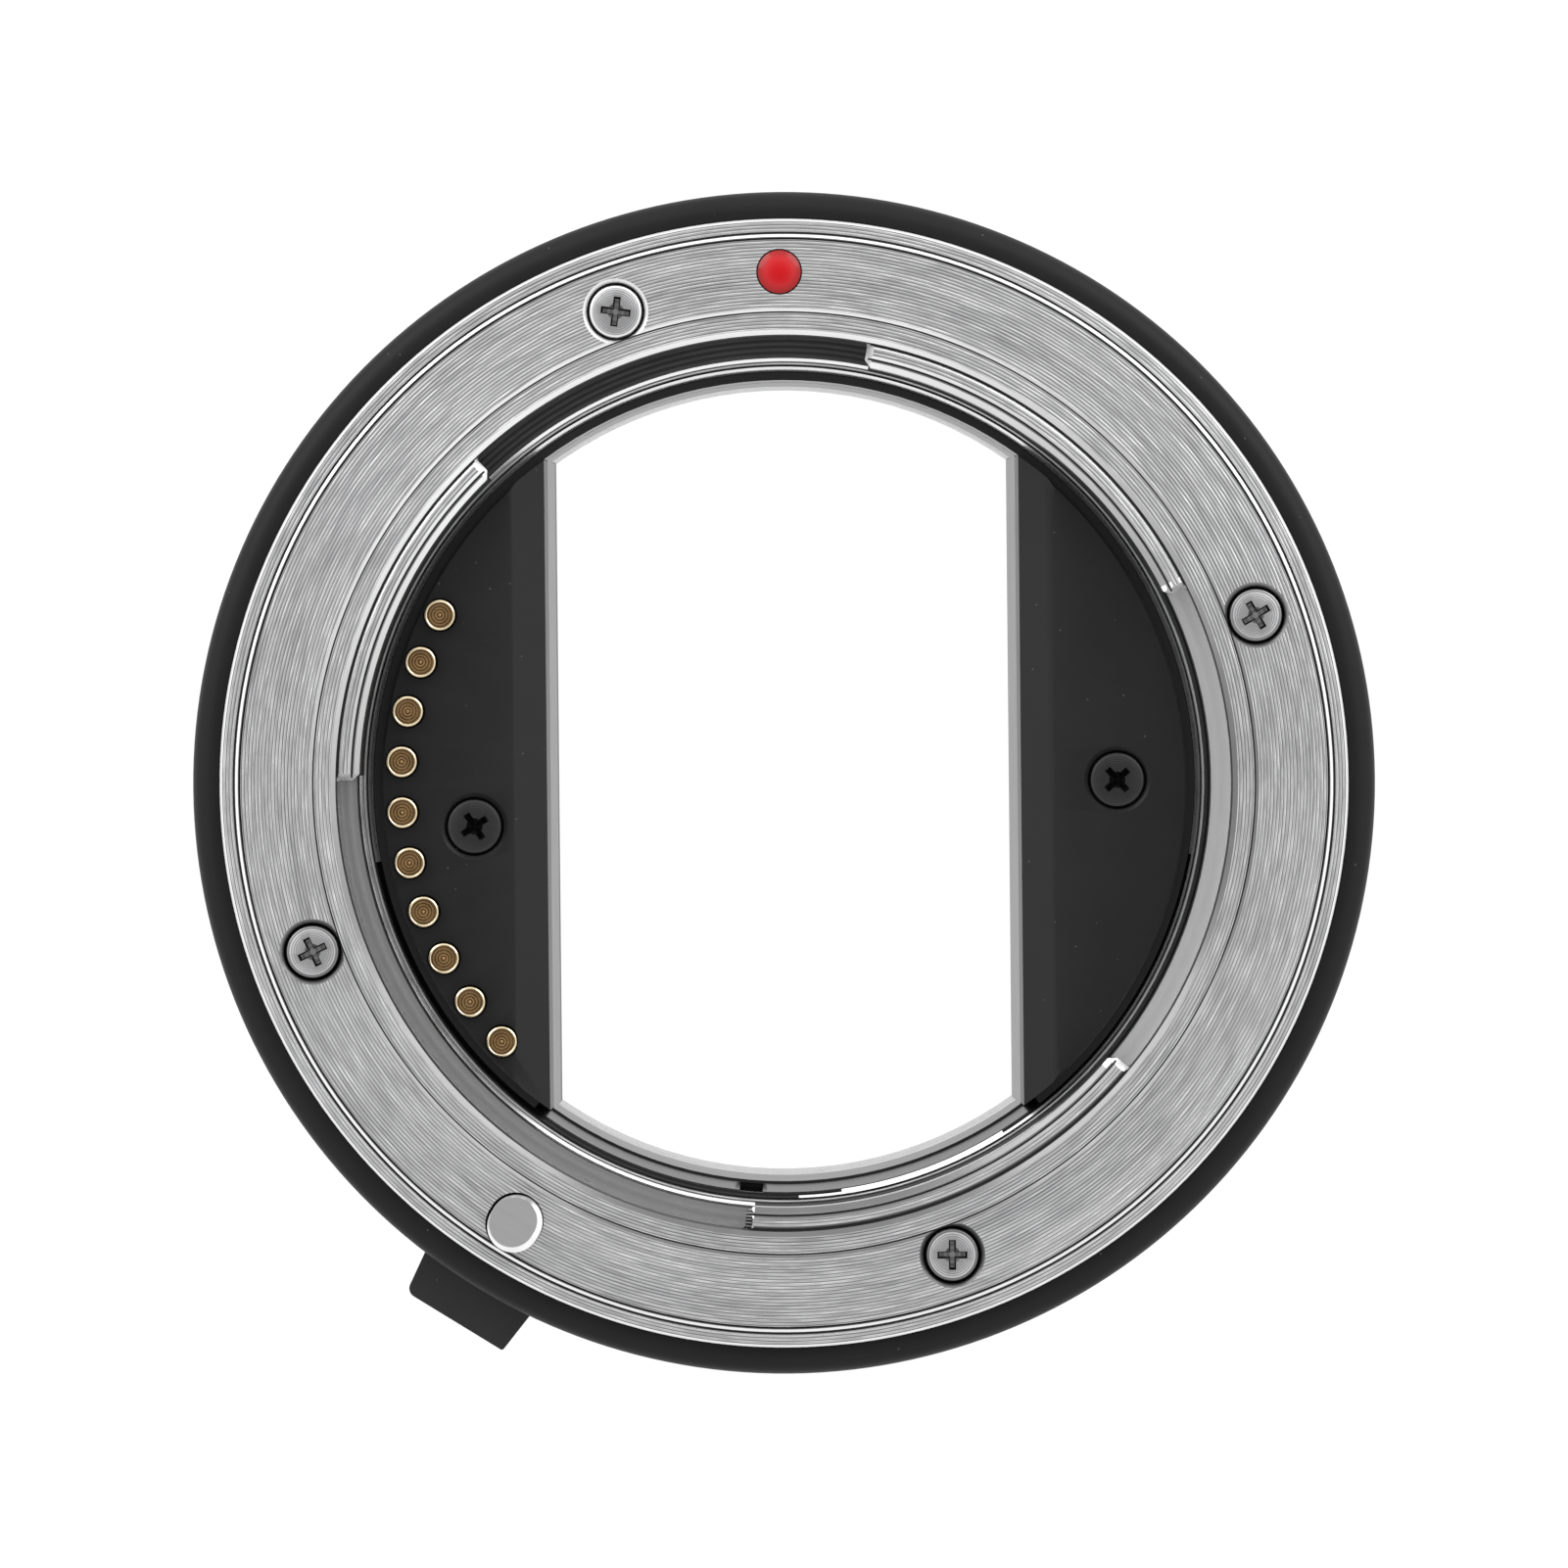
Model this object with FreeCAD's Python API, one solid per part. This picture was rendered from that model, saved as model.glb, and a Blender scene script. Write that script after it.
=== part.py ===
import FreeCAD, Part
import math
import os

# Macro extension tube with a female bayonet in front, a male bayonet behind, and ten contacts passed through.
# Millimetres. The optical axis is Z, z = 0 is the end of the rear spigot, +Z points to the lens,
# and +Y points to the index dot of the lens mount. Angles are in degrees from +X, as seen from the lens.

V = FreeCAD.Vector
AXIS = V(0, 0, 1)
EPS = 0.5                       # how far a cutting tool runs past the face it opens

# Driving sizes of the tube
TUBE_LENGTH = 16.0              # from flange face to flange face
SPIGOT_LENGTH = 4.5             # male bayonet, from the rear flange face to its end
THROAT_R = 20.9                 # light path, round at top and bottom

Z_REAR = SPIGOT_LENGTH
Z_FRONT = Z_REAR + TUBE_LENGTH

# Play between pieces
FIT = 0.03                      # pieces that are screwed or pressed together
RUN = 0.05                      # pieces that slide
SLIDER_PLAY = 0.1

# Body, from the light path outward: each radius stands on the one inside it
NECK_WALL = 0.52
THROAT_RING_WALL = 0.6
INNER_WALL = 2.12               # barrel wall between the liner and the pocket
POCKET_WIDTH = 3.8              # room for the lock and the wiring
BARREL_WALL = 2.1
RIM_STEP = 0.4                  # the rims stand out this much from the barrel between them
FRONT_RIM_WIDTH = 1.45
REAR_RIM_WIDTH = 1.9

PANEL_R = THROAT_R - RUN
NECK_R = THROAT_R + NECK_WALL
THROAT_RING_IN_R = NECK_R + FIT
THROAT_RING_R = THROAT_RING_IN_R + THROAT_RING_WALL
LINER_R = THROAT_RING_R - FIT
LINER_BORE_R = THROAT_RING_R + FIT
POCKET_IN_R = LINER_BORE_R + INNER_WALL
POCKET_OUT_R = POCKET_IN_R + POCKET_WIDTH
WAIST_R = POCKET_OUT_R + BARREL_WALL
RIM_R = WAIST_R + RIM_STEP
FLANGE_R = RIM_R - FRONT_RIM_WIDTH
CAMERA_FLANGE_R = RIM_R - REAR_RIM_WIDTH

# Bayonets, from the light path outward
SPIGOT_WALL = 0.75
BAYONET_PLAY = 0.2              # between a spigot and the lugs it turns in
MALE_LUG_REACH = 1.3
MALE_LUG_PLAY = 0.11            # between the male lugs and the bore they enter
GROOVE_STEP = 0.34
SKIRT_WALL = 0.9
INNER_LAND_WIDTH = 1.29
OUTER_LAND_WIDTH = 0.95

SPIGOT_R = THROAT_R + SPIGOT_WALL
LUG_R = SPIGOT_R + BAYONET_PLAY
MALE_LUG_R = SPIGOT_R + MALE_LUG_REACH
MOUNT_BORE_R = MALE_LUG_R + MALE_LUG_PLAY
GROOVE_R = MOUNT_BORE_R + GROOVE_STEP
SKIRT_R = GROOVE_R + SKIRT_WALL
INNER_LAND_R = MOUNT_BORE_R + INNER_LAND_WIDTH
OUTER_LAND_R = FLANGE_R - OUTER_LAND_WIDTH

# Lens mount ring
FLANGE_T = 2.2
LAND_STEP = 0.12                # the inner and outer lands lie this much below the face
STEP_WIDTH = 0.15
LUG_T = 1.4
LUG_DROP = 0.38                 # from the face down to the lugs' top
LUG_CHAMFER = 0.35
EDGE_CHAMFER = 0.22
SKIRT_DROP = 3.9                # from the face down to the skirt's end
SLOT_CORNER_R = 0.25
LUG_END_CHAMFER = 0.25          # broken top edge of a lug's two ends
LUG_CORNER_CHAMFER = 0.3        # broken inner corner of a lug's two ends
SLOT_ANGLES = [(78.65, 132.95), (-40.05, 25.45), (179.05, 264.45)]

# Screws
MOUNT_SCREW_ANGLE = 19.1
MOUNT_SCREW_COUNT = 4
FRONT_SCREW_INSET = 1.46        # from the skirt out to the front screws
FRONT_SCREW_R = SKIRT_R + FRONT_SCREW_INSET
REAR_SCREW_R = (POCKET_IN_R + POCKET_OUT_R) / 2.0
SHANK_R = 0.8
SCREW_CHAMFER = 0.08
HEAD_EDGE = 0.22                # straight edge of a countersunk head
HEAD_SINK = 0.06                # a head lies this much below its face
HEAD_GAP = 0.13                 # ring of shadow around a head
MOUNT_HEAD_R = 1.36
PANEL_HEAD_R = 1.4
REAR_HEAD_R = 1.15
MOUNT_SCREW_LENGTH = 5.0
PANEL_SCREW_LENGTH = 8.4
REAR_BLOCK_SCREW_LENGTH = 4.6
CROSS_LENGTH = 1.46
CROSS_WIDTH = 0.4
CROSS_DEPTH = 0.65
MOUNT_CROSS_ANGLES = [30.0, -8.0, 25.0, 0.0]
PANEL_CROSS_ANGLES = [33.0, 42.0]
REAR_CROSS_ANGLE = 20.0

# Index dots
DOT_R = 1.1
DOT_ORBIT_R = (INNER_LAND_R + STEP_WIDTH + OUTER_LAND_R) / 2.0
DOT_ANGLE = 90.0
DOT_DEPTH = 0.6
DOT_DOME = 0.28
MOUNT_TURN_ANGLE = 53.0         # how far a bayonet turns from its index to its lock
REAR_DOT_R = 0.8
REAR_DOT_DEPTH = 0.5
REAR_DOT_PROUD = 0.08

# Barrel
RIM_DROP = 0.6                  # the front rim lies this much below the lens flange
RIM_ROUND = 1.1
RIM_ROUND_STEPS = 5
BACK_ROUND = 0.5
BACK_ROUND_STEPS = 3
BACK_SETBACK = 0.4              # the rear rim lies this much in front of the camera flange
FRONT_RIM_H = 3.3
REAR_RIM_H = 2.3
WAIST_SLOPE = 0.4
WEB_T = 4.3
POST_R = 2.1
POST_HOLE_DEPTH = 5.0

# Camera mount ring
CAMERA_FLANGE_T = 2.0
MALE_LUG_T = 1.3
MALE_LUG_DROP = 1.9             # from the flange to the lugs' front face
MALE_LUG_END_ANGLE = 1.2        # left free at each end of a lug in its slot
LOCK_HOLE_LENGTH = 4.0
LOCK_HOLE_WIDTH = 3.2
LOCK_HOLE_DEPTH = 1.4

# Leaf springs on the seat behind the lens mount ring
LEAF_T = 0.3
LEAF_GAP = 0.07                 # from the liner's bore out to a leaf
LEAF_IN_R = LINER_BORE_R + LEAF_GAP
LEAF_OVERLAP_ANGLE = 6.0        # past each end of its slot
LEAF_CORNER_R = 0.5

# Throat ring and liner
THROAT_RING_DROP = 4.8
THROAT_RING_CHAMFER = 0.1
LINER_NECK_DROP = 4.6
PARTING_H = 0.3                 # shadow line around the light path
PARTING_DEPTH = 0.15
KEY_ANGLE = 264.85
KEY_WIDTH = 0.7
KEY_DEPTH = 0.8
PANEL_WIDTH = 8.6               # from a flat of the light path to its round wall
APERTURE_DRAFT = 0.27           # each flat closes in this much towards the camera
APERTURE_FRONT = THROAT_R - PANEL_WIDTH
APERTURE_REAR = APERTURE_FRONT - APERTURE_DRAFT
COLUMN_WALL = 1.3
ROUND_WALL = 1.0
POCKET_R = THROAT_R - ROUND_WALL
BOSS_R = 1.7
RIB_T = 1.2                     # rib between the left boss and the flat's wall

# Panels beside the light path
PANEL_DROP = 3.0                # from the lens flange down to the panels
PANEL_H = 5.0
BEVEL_WIDTH = 1.75
BEVEL_DROP = 0.75
REAR_PANEL_DROP = 2.6           # from the camera flange to the rear panels
REAR_BLOCK_T = 1.7
REAR_BOSS_H = 4.5

# Contacts
CONTACT_COUNT = 10
CONTACT_INSET = 1.05            # from a panel's round side in to the contacts
CONTACT_ORBIT_R = PANEL_R - CONTACT_INSET
CONTACT_FIRST_ANGLE = 153.45
CONTACT_PITCH_ANGLE = 7.61
PIN_R = 0.775
PIN_PROUD = 0.7
PIN_TRAVEL = 0.6
PIN_CHAMFER = 0.09
COLLAR_R = 0.86
COLLAR_T = 0.4
CONTACT_SKIN = 0.8              # front wall of the contact block, which stops the collars
TAIL_R = 0.3
TAIL_PLAY = 0.9                 # left between a fully pressed pin's tail and the board
BORE_R = 0.92
COIL_R = 0.62
COIL_WIRE = 0.2
COIL_TURNS = 3.5
COIL_SIDES = 8                  # straight pieces of wire in one turn
BOARD_T = 0.4
BOARD_WIDTH = 2.5
BOARD_R = PANEL_R - RUN
BOARD_IN_R = BOARD_R - BOARD_WIDTH
BOARD_END_ANGLE = 4.0           # past the first and last contact
PAD_R = 0.9
PAD_T = 0.25
FLEX_INSET = 0.2                # from the board's inner side in to the ribbon
FLEX_R = BOARD_IN_R - FLEX_INSET
FLEX_T = 0.2
FLEX_FOOT = 1.0
FLEX_WIDTH = 10.0

# Places of the screws in the panels, as (x, y)
LEFT_SCREW_DROP = 2.1
RIGHT_SCREW_INSET = 3.6
REAR_SCREW_INSET = 2.4
REAR_SCREW_GAP = 2.56           # from the contacts' circle in to the screws of the rear block
LEFT_PANEL_SCREW = (-(APERTURE_FRONT + CONTACT_ORBIT_R) / 2.0, -LEFT_SCREW_DROP)
RIGHT_PANEL_SCREW = (PANEL_R - RIGHT_SCREW_INSET, 0.0)
REAR_SCREW_X = APERTURE_FRONT + REAR_SCREW_INSET
REAR_SCREW_Y = math.sqrt((CONTACT_ORBIT_R - REAR_SCREW_GAP) ** 2 - REAR_SCREW_X ** 2)
REAR_BLOCK_SCREWS = [(-REAR_SCREW_X, REAR_SCREW_Y), (-REAR_SCREW_X, -REAR_SCREW_Y)]

# Lock pin and release slider
LOCK_ANGLE = 238.0
LOCK_OFFSET = 0.2               # the lock pin stands this much outside the index dot's circle
LOCK_ORBIT_R = DOT_ORBIT_R + LOCK_OFFSET
LOCK_STEM_R = 1.0
LOCK_HEAD_LENGTH = 2.95
LOCK_HEAD_WIDTH = 2.7
LOCK_HEAD_H = 1.7
LOCK_PROUD = 1.2
LOCK_HEAD_PLAY = 0.14
LOCK_TRAVEL = 1.6
ARM_T = 1.2
ARM_WIDTH = 3.0
ARM_GAP = 0.3                   # from the pocket's inner wall to the arm
ARM_IN_R = POCKET_IN_R + ARM_GAP
LOCK_SPRING_GAP = 1.4           # from the pocket's inner wall to the spring's axis, clear of the shoe
LOCK_SPRING_ORBIT_R = POCKET_IN_R + LOCK_SPRING_GAP
SLOT_OVERLAP = 0.3              # the slot for the tab starts this much inside the round pocket wall
SLOT_IN_R = POCKET_OUT_R - SLOT_OVERLAP
SHOE_T = 1.0
SHOE_HALF_ANGLE = 9.5
TAB_REACH = 2.35                # from the rim out to the tab's end
TAB_R = RIM_R + TAB_REACH
TAB_ROOT_WIDTH = 6.4
TAB_END_WIDTH = 5.85
TAB_TOP_DROP = 4.9              # from the lens flange down to the tab's top
TAB_BASE_GAP = 0.9
TAB_ROUND = 0.5                 # the tab's corner on the side of the index dot
TAB_EDGE = 0.15                 # its other corner
TAB_RIB_COUNT = 3
TAB_RIB_CUT = 0.3
LOCK_COIL_R = 0.95
LOCK_COIL_WIRE = 0.32
LOCK_COIL_TURNS = 5.5
SPRING_PEG_R = 0.6
SPRING_PEG_H = 1.2

# Heights that follow from the sizes above
Z_PLATE = Z_FRONT - FLANGE_T
Z_LAND = Z_FRONT - LAND_STEP
Z_LUG_TOP = Z_FRONT - LUG_DROP
Z_LUG_BOTTOM = Z_LUG_TOP - LUG_T
Z_SKIRT = Z_FRONT - SKIRT_DROP
Z_SEAT = Z_SKIRT - LEAF_T
Z_RIM = Z_FRONT - RIM_DROP
Z_BACK = Z_REAR + BACK_SETBACK
Z_RING_TOP = Z_REAR + CAMERA_FLANGE_T
Z_WEB = Z_PLATE - WEB_T
Z_PANEL = Z_FRONT - PANEL_DROP
Z_SHOULDER = Z_PANEL - PANEL_H
Z_NECK = Z_FRONT - LINER_NECK_DROP
Z_BOARD = Z_SHOULDER - BOARD_T
Z_REAR_PANEL = Z_REAR - REAR_PANEL_DROP
Z_COLUMN = Z_REAR_PANEL + REAR_BLOCK_T
Z_TAB_TOP = Z_FRONT - TAB_TOP_DROP
Z_TAB = Z_RING_TOP + 2 * LOCK_TRAVEL + TAB_BASE_GAP
TAB_H = Z_TAB_TOP - Z_TAB
Z_SHOE = Z_TAB - LOCK_TRAVEL - 2 * SLIDER_PLAY      # low enough to close the barrel's slot at rest
Z_ARM = Z_WEB - SLIDER_PLAY

os.makedirs("parts", exist_ok=True)
kept = {}


def keep(name, shape):
    """Store one finished piece under its name."""
    kept[name] = shape
    return shape


def at(radius, angle, z=0.0):
    """Point at a radius and an angle about the optical axis."""
    turn = math.radians(angle)
    return V(radius * math.cos(turn), radius * math.sin(turn), z)


def turned(profile, sweep=360.0, start=0.0):
    """Solid turned about the optical axis from (radius, height) points."""
    points = [V(r, 0, z) for r, z in profile]
    face = Part.Face(Part.makePolygon(points + points[:1]))
    solid = face.revolve(V(0, 0, 0), AXIS, sweep)
    solid.rotate(V(0, 0, 0), AXIS, start)
    return solid


def disc(radius, z_low, z_high, centre=(0.0, 0.0)):
    """Upright cylinder between two heights."""
    return Part.makeCylinder(radius, z_high - z_low, V(centre[0], centre[1], z_low))


def prism(outline, z_low, z_high):
    """Upright prism over a closed plan outline of (x, y) points."""
    points = [V(x, y, z_low) for x, y in outline]
    return Part.Face(Part.makePolygon(points + points[:1])).extrude(V(0, 0, z_high - z_low))


def sector(r_in, r_out, z_low, z_high, start, end):
    """Piece of a flat ring between two angles."""
    profile = [(r_in, z_low), (r_out, z_low), (r_out, z_high), (r_in, z_high)]
    return turned(profile, end - start, start)


def obround(length, width, z_low, z_high, radius, angle):
    """Round-ended bar that lies along the radius, centred at a radius and an angle."""
    half = (length - width) / 2.0
    bar = Part.makeBox(2 * half, width, z_high - z_low, V(radius - half, -width / 2.0, z_low))
    ends = [disc(width / 2.0, z_low, z_high, (radius + side * half, 0.0)) for side in (-1, 1)]
    solid = bar.multiFuse(ends).removeSplitter()
    solid.rotate(V(0, 0, 0), AXIS, angle)
    return solid


def upright_edges(shape, radius, tolerance=0.02):
    """Straight edges that run along Z at one distance from the axis."""
    found = []
    for edge in shape.Edges:
        first, last = edge.Vertexes[0].Point, edge.Vertexes[-1].Point
        along_z = math.hypot(first.x - last.x, first.y - last.y) < tolerance
        if along_z and abs(math.hypot(first.x, first.y) - radius) < tolerance:
            found.append(edge)
    return found


def quarter_round(radius, centre_r, centre_z, start, end, steps):
    """Points of a rounded rim for a turned profile, in short straight steps."""
    angles = [math.radians(start + (end - start) * k / steps) for k in range(steps + 1)]
    return [(centre_r + radius * math.cos(a), centre_z + radius * math.sin(a)) for a in angles]


def coil(radius, wire, turns, z_low, z_high, centre):
    """Compression spring of square wire in short straight pieces, standing between two faces."""
    half = wire / 2.0
    steps = round(turns * COIL_SIDES)
    rise = (z_high - z_low - wire) / steps
    sections = []
    for k in range(steps + 1):
        angle = 360.0 * k / COIL_SIDES
        z = z_low + half + rise * k
        square = [(-half, -half), (half, -half), (half, half), (-half, half)]
        corners = [at(radius + u, angle, z + v) for u, v in square]
        sections.append(Part.makePolygon(corners + corners[:1]))
    solid = Part.makeLoft(sections, True, True)
    solid.translate(V(centre.x, centre.y, 0))
    return solid


def countersink(centre, head_r, z_face, down=1.0):
    """Tool that opens a face for a countersunk screw, with room for its shank below."""
    wide = head_r + HEAD_GAP
    narrow = SHANK_R + FIT
    straight = HEAD_SINK + HEAD_EDGE + HEAD_GAP - FIT
    depth = straight + wide - narrow
    profile = [(0, EPS), (wide, EPS), (wide, -straight), (narrow, -depth), (0, -depth)]
    tool = turned([(r, down * z) for r, z in profile])
    tool.translate(V(centre[0], centre[1], z_face))
    return tool


def screw(centre, head_r, z_face, length, cross_turn, down=1.0):
    """Countersunk cross-head screw whose head lies just below a face."""
    cone = HEAD_EDGE + head_r - SHANK_R
    profile = [(0, 0), (head_r - SCREW_CHAMFER, 0), (head_r, -SCREW_CHAMFER), (head_r, -HEAD_EDGE),
               (SHANK_R, -cone), (SHANK_R, -length + SHANK_R / 2.0), (SHANK_R / 2.0, -length), (0, -length)]
    solid = turned([(r, down * z) for r, z in profile])
    low = min(0, -down * CROSS_DEPTH)
    for turn in (0, 90):
        arm = Part.makeBox(CROSS_LENGTH, CROSS_WIDTH, CROSS_DEPTH,
                           V(-CROSS_LENGTH / 2.0, -CROSS_WIDTH / 2.0, low))
        arm.rotate(V(0, 0, 0), AXIS, cross_turn + turn)
        solid = solid.cut(arm)
    solid.translate(V(centre[0], centre[1], z_face - down * HEAD_SINK))
    return solid


def mount_screw_places(radius):
    """Places of the four screws of a mount ring."""
    step = 360.0 / MOUNT_SCREW_COUNT
    return [at(radius, MOUNT_SCREW_ANGLE + step * k) for k in range(MOUNT_SCREW_COUNT)]


def contact_places():
    """Places of the contacts on their arc."""
    return [at(CONTACT_ORBIT_R, CONTACT_FIRST_ANGLE + CONTACT_PITCH_ANGLE * k) for k in range(CONTACT_COUNT)]


# A mount ring, its screws and the barrel share these places
FRONT_SCREWS = mount_screw_places(FRONT_SCREW_R)
REAR_SCREWS = mount_screw_places(REAR_SCREW_R)
CONTACTS = contact_places()


def aperture_half(z):
    """Half of the width between the flats, which close in slightly towards the camera."""
    share = (z - Z_REAR_PANEL) / (Z_PANEL - Z_REAR_PANEL)
    return APERTURE_REAR + (APERTURE_FRONT - APERTURE_REAR) * share


def between_flats(z_low, z_high, margin=0.0):
    """Drafted bar that holds the light path between its flats, widened by a margin."""
    wires = []
    for z in (z_low, z_high):
        half = aperture_half(z) + margin
        corners = [V(x, y, z) for x, y in ((-half, -RIM_R), (half, -RIM_R), (half, RIM_R), (-half, RIM_R))]
        wires.append(Part.makePolygon(corners + corners[:1]))
    return Part.makeLoft(wires, True, True)


def side_segment(side, radius, z_low, z_high, margin=0.0):
    """D-shaped segment beside the light path: side is -1 on the contacts' side and 1 on the other."""
    x_low = -RIM_R if side < 0 else 0.0
    half_space = Part.makeBox(RIM_R, 2 * RIM_R, z_high - z_low, V(x_low, -RIM_R, z_low))
    half_disc = disc(radius, z_low, z_high).common(half_space)
    return half_disc.cut(between_flats(z_low - EPS, z_high + EPS, margin))


def lug_end_tools(angle):
    """Tools that break the top edge and the inner corner of a lug's end."""
    c, k = LUG_END_CHAMFER, LUG_CORNER_CHAMFER
    start = LUG_R - EPS
    diamond = [(-c, Z_LUG_TOP), (0, Z_LUG_TOP - c), (c, Z_LUG_TOP), (0, Z_LUG_TOP + c)]
    bar = [V(start, y, z) for y, z in diamond]
    edge = Part.Face(Part.makePolygon(bar + bar[:1])).extrude(V(MOUNT_BORE_R - FIT - start, 0, 0))
    outline = [(LUG_R - k, 0), (LUG_R, -k), (LUG_R + k, 0), (LUG_R, k)]
    corner = prism(outline, Z_LUG_BOTTOM - EPS, Z_LUG_TOP + EPS)
    for tool in (edge, corner):
        tool.rotate(V(0, 0, 0), AXIS, angle)
    return [edge, corner]


def lens_mount_ring():
    """Turned and milled female bayonet: the lugs are what the three slots leave of an inner lip."""
    profile = [
        (LUG_R, Z_LUG_BOTTOM), (LUG_R, Z_LUG_TOP - LUG_CHAMFER), (LUG_R + LUG_CHAMFER, Z_LUG_TOP),
        (MOUNT_BORE_R, Z_LUG_TOP), (MOUNT_BORE_R, Z_LAND - EDGE_CHAMFER),
        (MOUNT_BORE_R + EDGE_CHAMFER, Z_LAND), (INNER_LAND_R, Z_LAND),
        (INNER_LAND_R + STEP_WIDTH, Z_FRONT), (OUTER_LAND_R, Z_FRONT),
        (OUTER_LAND_R + STEP_WIDTH, Z_LAND), (FLANGE_R - EDGE_CHAMFER, Z_LAND),
        (FLANGE_R, Z_LAND - EDGE_CHAMFER), (FLANGE_R, Z_PLATE), (SKIRT_R, Z_PLATE), (SKIRT_R, Z_SKIRT),
        (GROOVE_R, Z_SKIRT), (GROOVE_R, Z_LUG_BOTTOM)]
    ring = turned(profile)
    tools = []
    for start, end in SLOT_ANGLES:
        slot = sector(THROAT_R - EPS, MOUNT_BORE_R, Z_LUG_BOTTOM - LUG_T / 2.0, Z_FRONT + EPS, start, end)
        tools.append(slot.makeFillet(SLOT_CORNER_R, upright_edges(slot, MOUNT_BORE_R)))
        tools.extend(lug_end_tools(start) + lug_end_tools(end))
    for place in FRONT_SCREWS:
        tools.append(countersink((place.x, place.y), MOUNT_HEAD_R, Z_FRONT))
        tools.append(disc(SHANK_R + FIT, Z_PLATE - EPS, Z_FRONT, (place.x, place.y)))
    dot = at(DOT_ORBIT_R, DOT_ANGLE)
    tools.append(disc(DOT_R + FIT, Z_FRONT - DOT_DEPTH, Z_FRONT + EPS, (dot.x, dot.y)))
    tools.append(obround(LOCK_HEAD_LENGTH + 2 * LOCK_HEAD_PLAY, LOCK_HEAD_WIDTH + 2 * LOCK_HEAD_PLAY,
                         Z_PLATE - EPS, Z_FRONT + EPS, LOCK_ORBIT_R, LOCK_ANGLE))
    return ring.cut(tools)


def index_dot():
    """Glossy enamel dot with a low dome."""
    centre = at(DOT_ORBIT_R, DOT_ANGLE)
    top = Z_FRONT + DOT_DOME
    ball_r = (DOT_R ** 2 + DOT_DOME ** 2) / (2 * DOT_DOME)
    body = disc(DOT_R, Z_FRONT - DOT_DEPTH, top, (centre.x, centre.y))
    ball = Part.makeSphere(ball_r, V(centre.x, centre.y, top - ball_r))
    return body.common(ball)


def barrel():
    """Barrel with the seats of both rings, a pocket for the lock and the wiring, and four rear posts."""
    front_seat_r = FLANGE_R + FIT
    rear_seat_r = CAMERA_FLANGE_R + FIT
    waist_top = Z_RIM - FRONT_RIM_H
    waist_low = Z_BACK + REAR_RIM_H
    profile = [(LINER_BORE_R, Z_RING_TOP), (LINER_BORE_R, Z_SEAT), (SKIRT_R + FIT, Z_SEAT),
               (SKIRT_R + FIT, Z_PLATE), (front_seat_r, Z_PLATE), (front_seat_r, Z_RIM)]
    profile += quarter_round(RIM_ROUND, RIM_R - RIM_ROUND, Z_RIM - RIM_ROUND, 90.0, 0.0, RIM_ROUND_STEPS)
    profile += [(RIM_R, waist_top), (WAIST_R, waist_top - WAIST_SLOPE),
                (WAIST_R, waist_low + WAIST_SLOPE), (RIM_R, waist_low)]
    back_z = Z_BACK + BACK_ROUND
    profile += quarter_round(BACK_ROUND, RIM_R - BACK_ROUND, back_z, 0.0, -90.0, BACK_ROUND_STEPS)
    profile += [(rear_seat_r, Z_BACK), (rear_seat_r, Z_RING_TOP), (POCKET_OUT_R, Z_RING_TOP),
                (POCKET_OUT_R, Z_WEB), (POCKET_IN_R, Z_WEB), (POCKET_IN_R, Z_RING_TOP)]
    body = turned(profile)
    posts = [disc(POST_R, Z_RING_TOP, Z_WEB + EPS, (p.x, p.y)) for p in REAR_SCREWS]
    body = body.multiFuse(posts)
    tools = []
    hole_end = Z_FRONT - MOUNT_SCREW_LENGTH - EPS
    for place in FRONT_SCREWS:
        tools.append(disc(SHANK_R + FIT, hole_end, Z_PLATE + EPS, (place.x, place.y)))
    for place in REAR_SCREWS:
        tools.append(disc(SHANK_R + FIT, Z_RING_TOP - EPS, Z_RING_TOP + POST_HOLE_DEPTH, (place.x, place.y)))
    pin = at(LOCK_ORBIT_R, LOCK_ANGLE)
    tools.append(disc(LOCK_STEM_R + RUN, Z_WEB - EPS, Z_PLATE + EPS, (pin.x, pin.y)))
    slot_h = TAB_H + LOCK_TRAVEL + 2 * SLIDER_PLAY
    slot = Part.makeBox(RIM_R - SLOT_IN_R + EPS, TAB_ROOT_WIDTH + 2 * RUN, slot_h,
                        V(SLOT_IN_R, -TAB_ROOT_WIDTH / 2.0 - RUN, Z_TAB - LOCK_TRAVEL - SLIDER_PLAY))
    slot.rotate(V(0, 0, 0), AXIS, LOCK_ANGLE)
    tools.append(slot)
    tools.append(rear_dot_tool(RIM_R - REAR_DOT_DEPTH, RIM_R + EPS, REAR_DOT_R + FIT))
    return body.cut(tools).removeSplitter()


def rear_dot_tool(r_low, r_high, radius):
    """Cylinder along the radius, where the index dot of the camera side lies in the rear rim."""
    angle = DOT_ANGLE - MOUNT_TURN_ANGLE
    z = Z_BACK + REAR_RIM_H / 2.0
    return Part.makeCylinder(radius, r_high - r_low, at(r_low, angle, z), at(1, angle))


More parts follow.
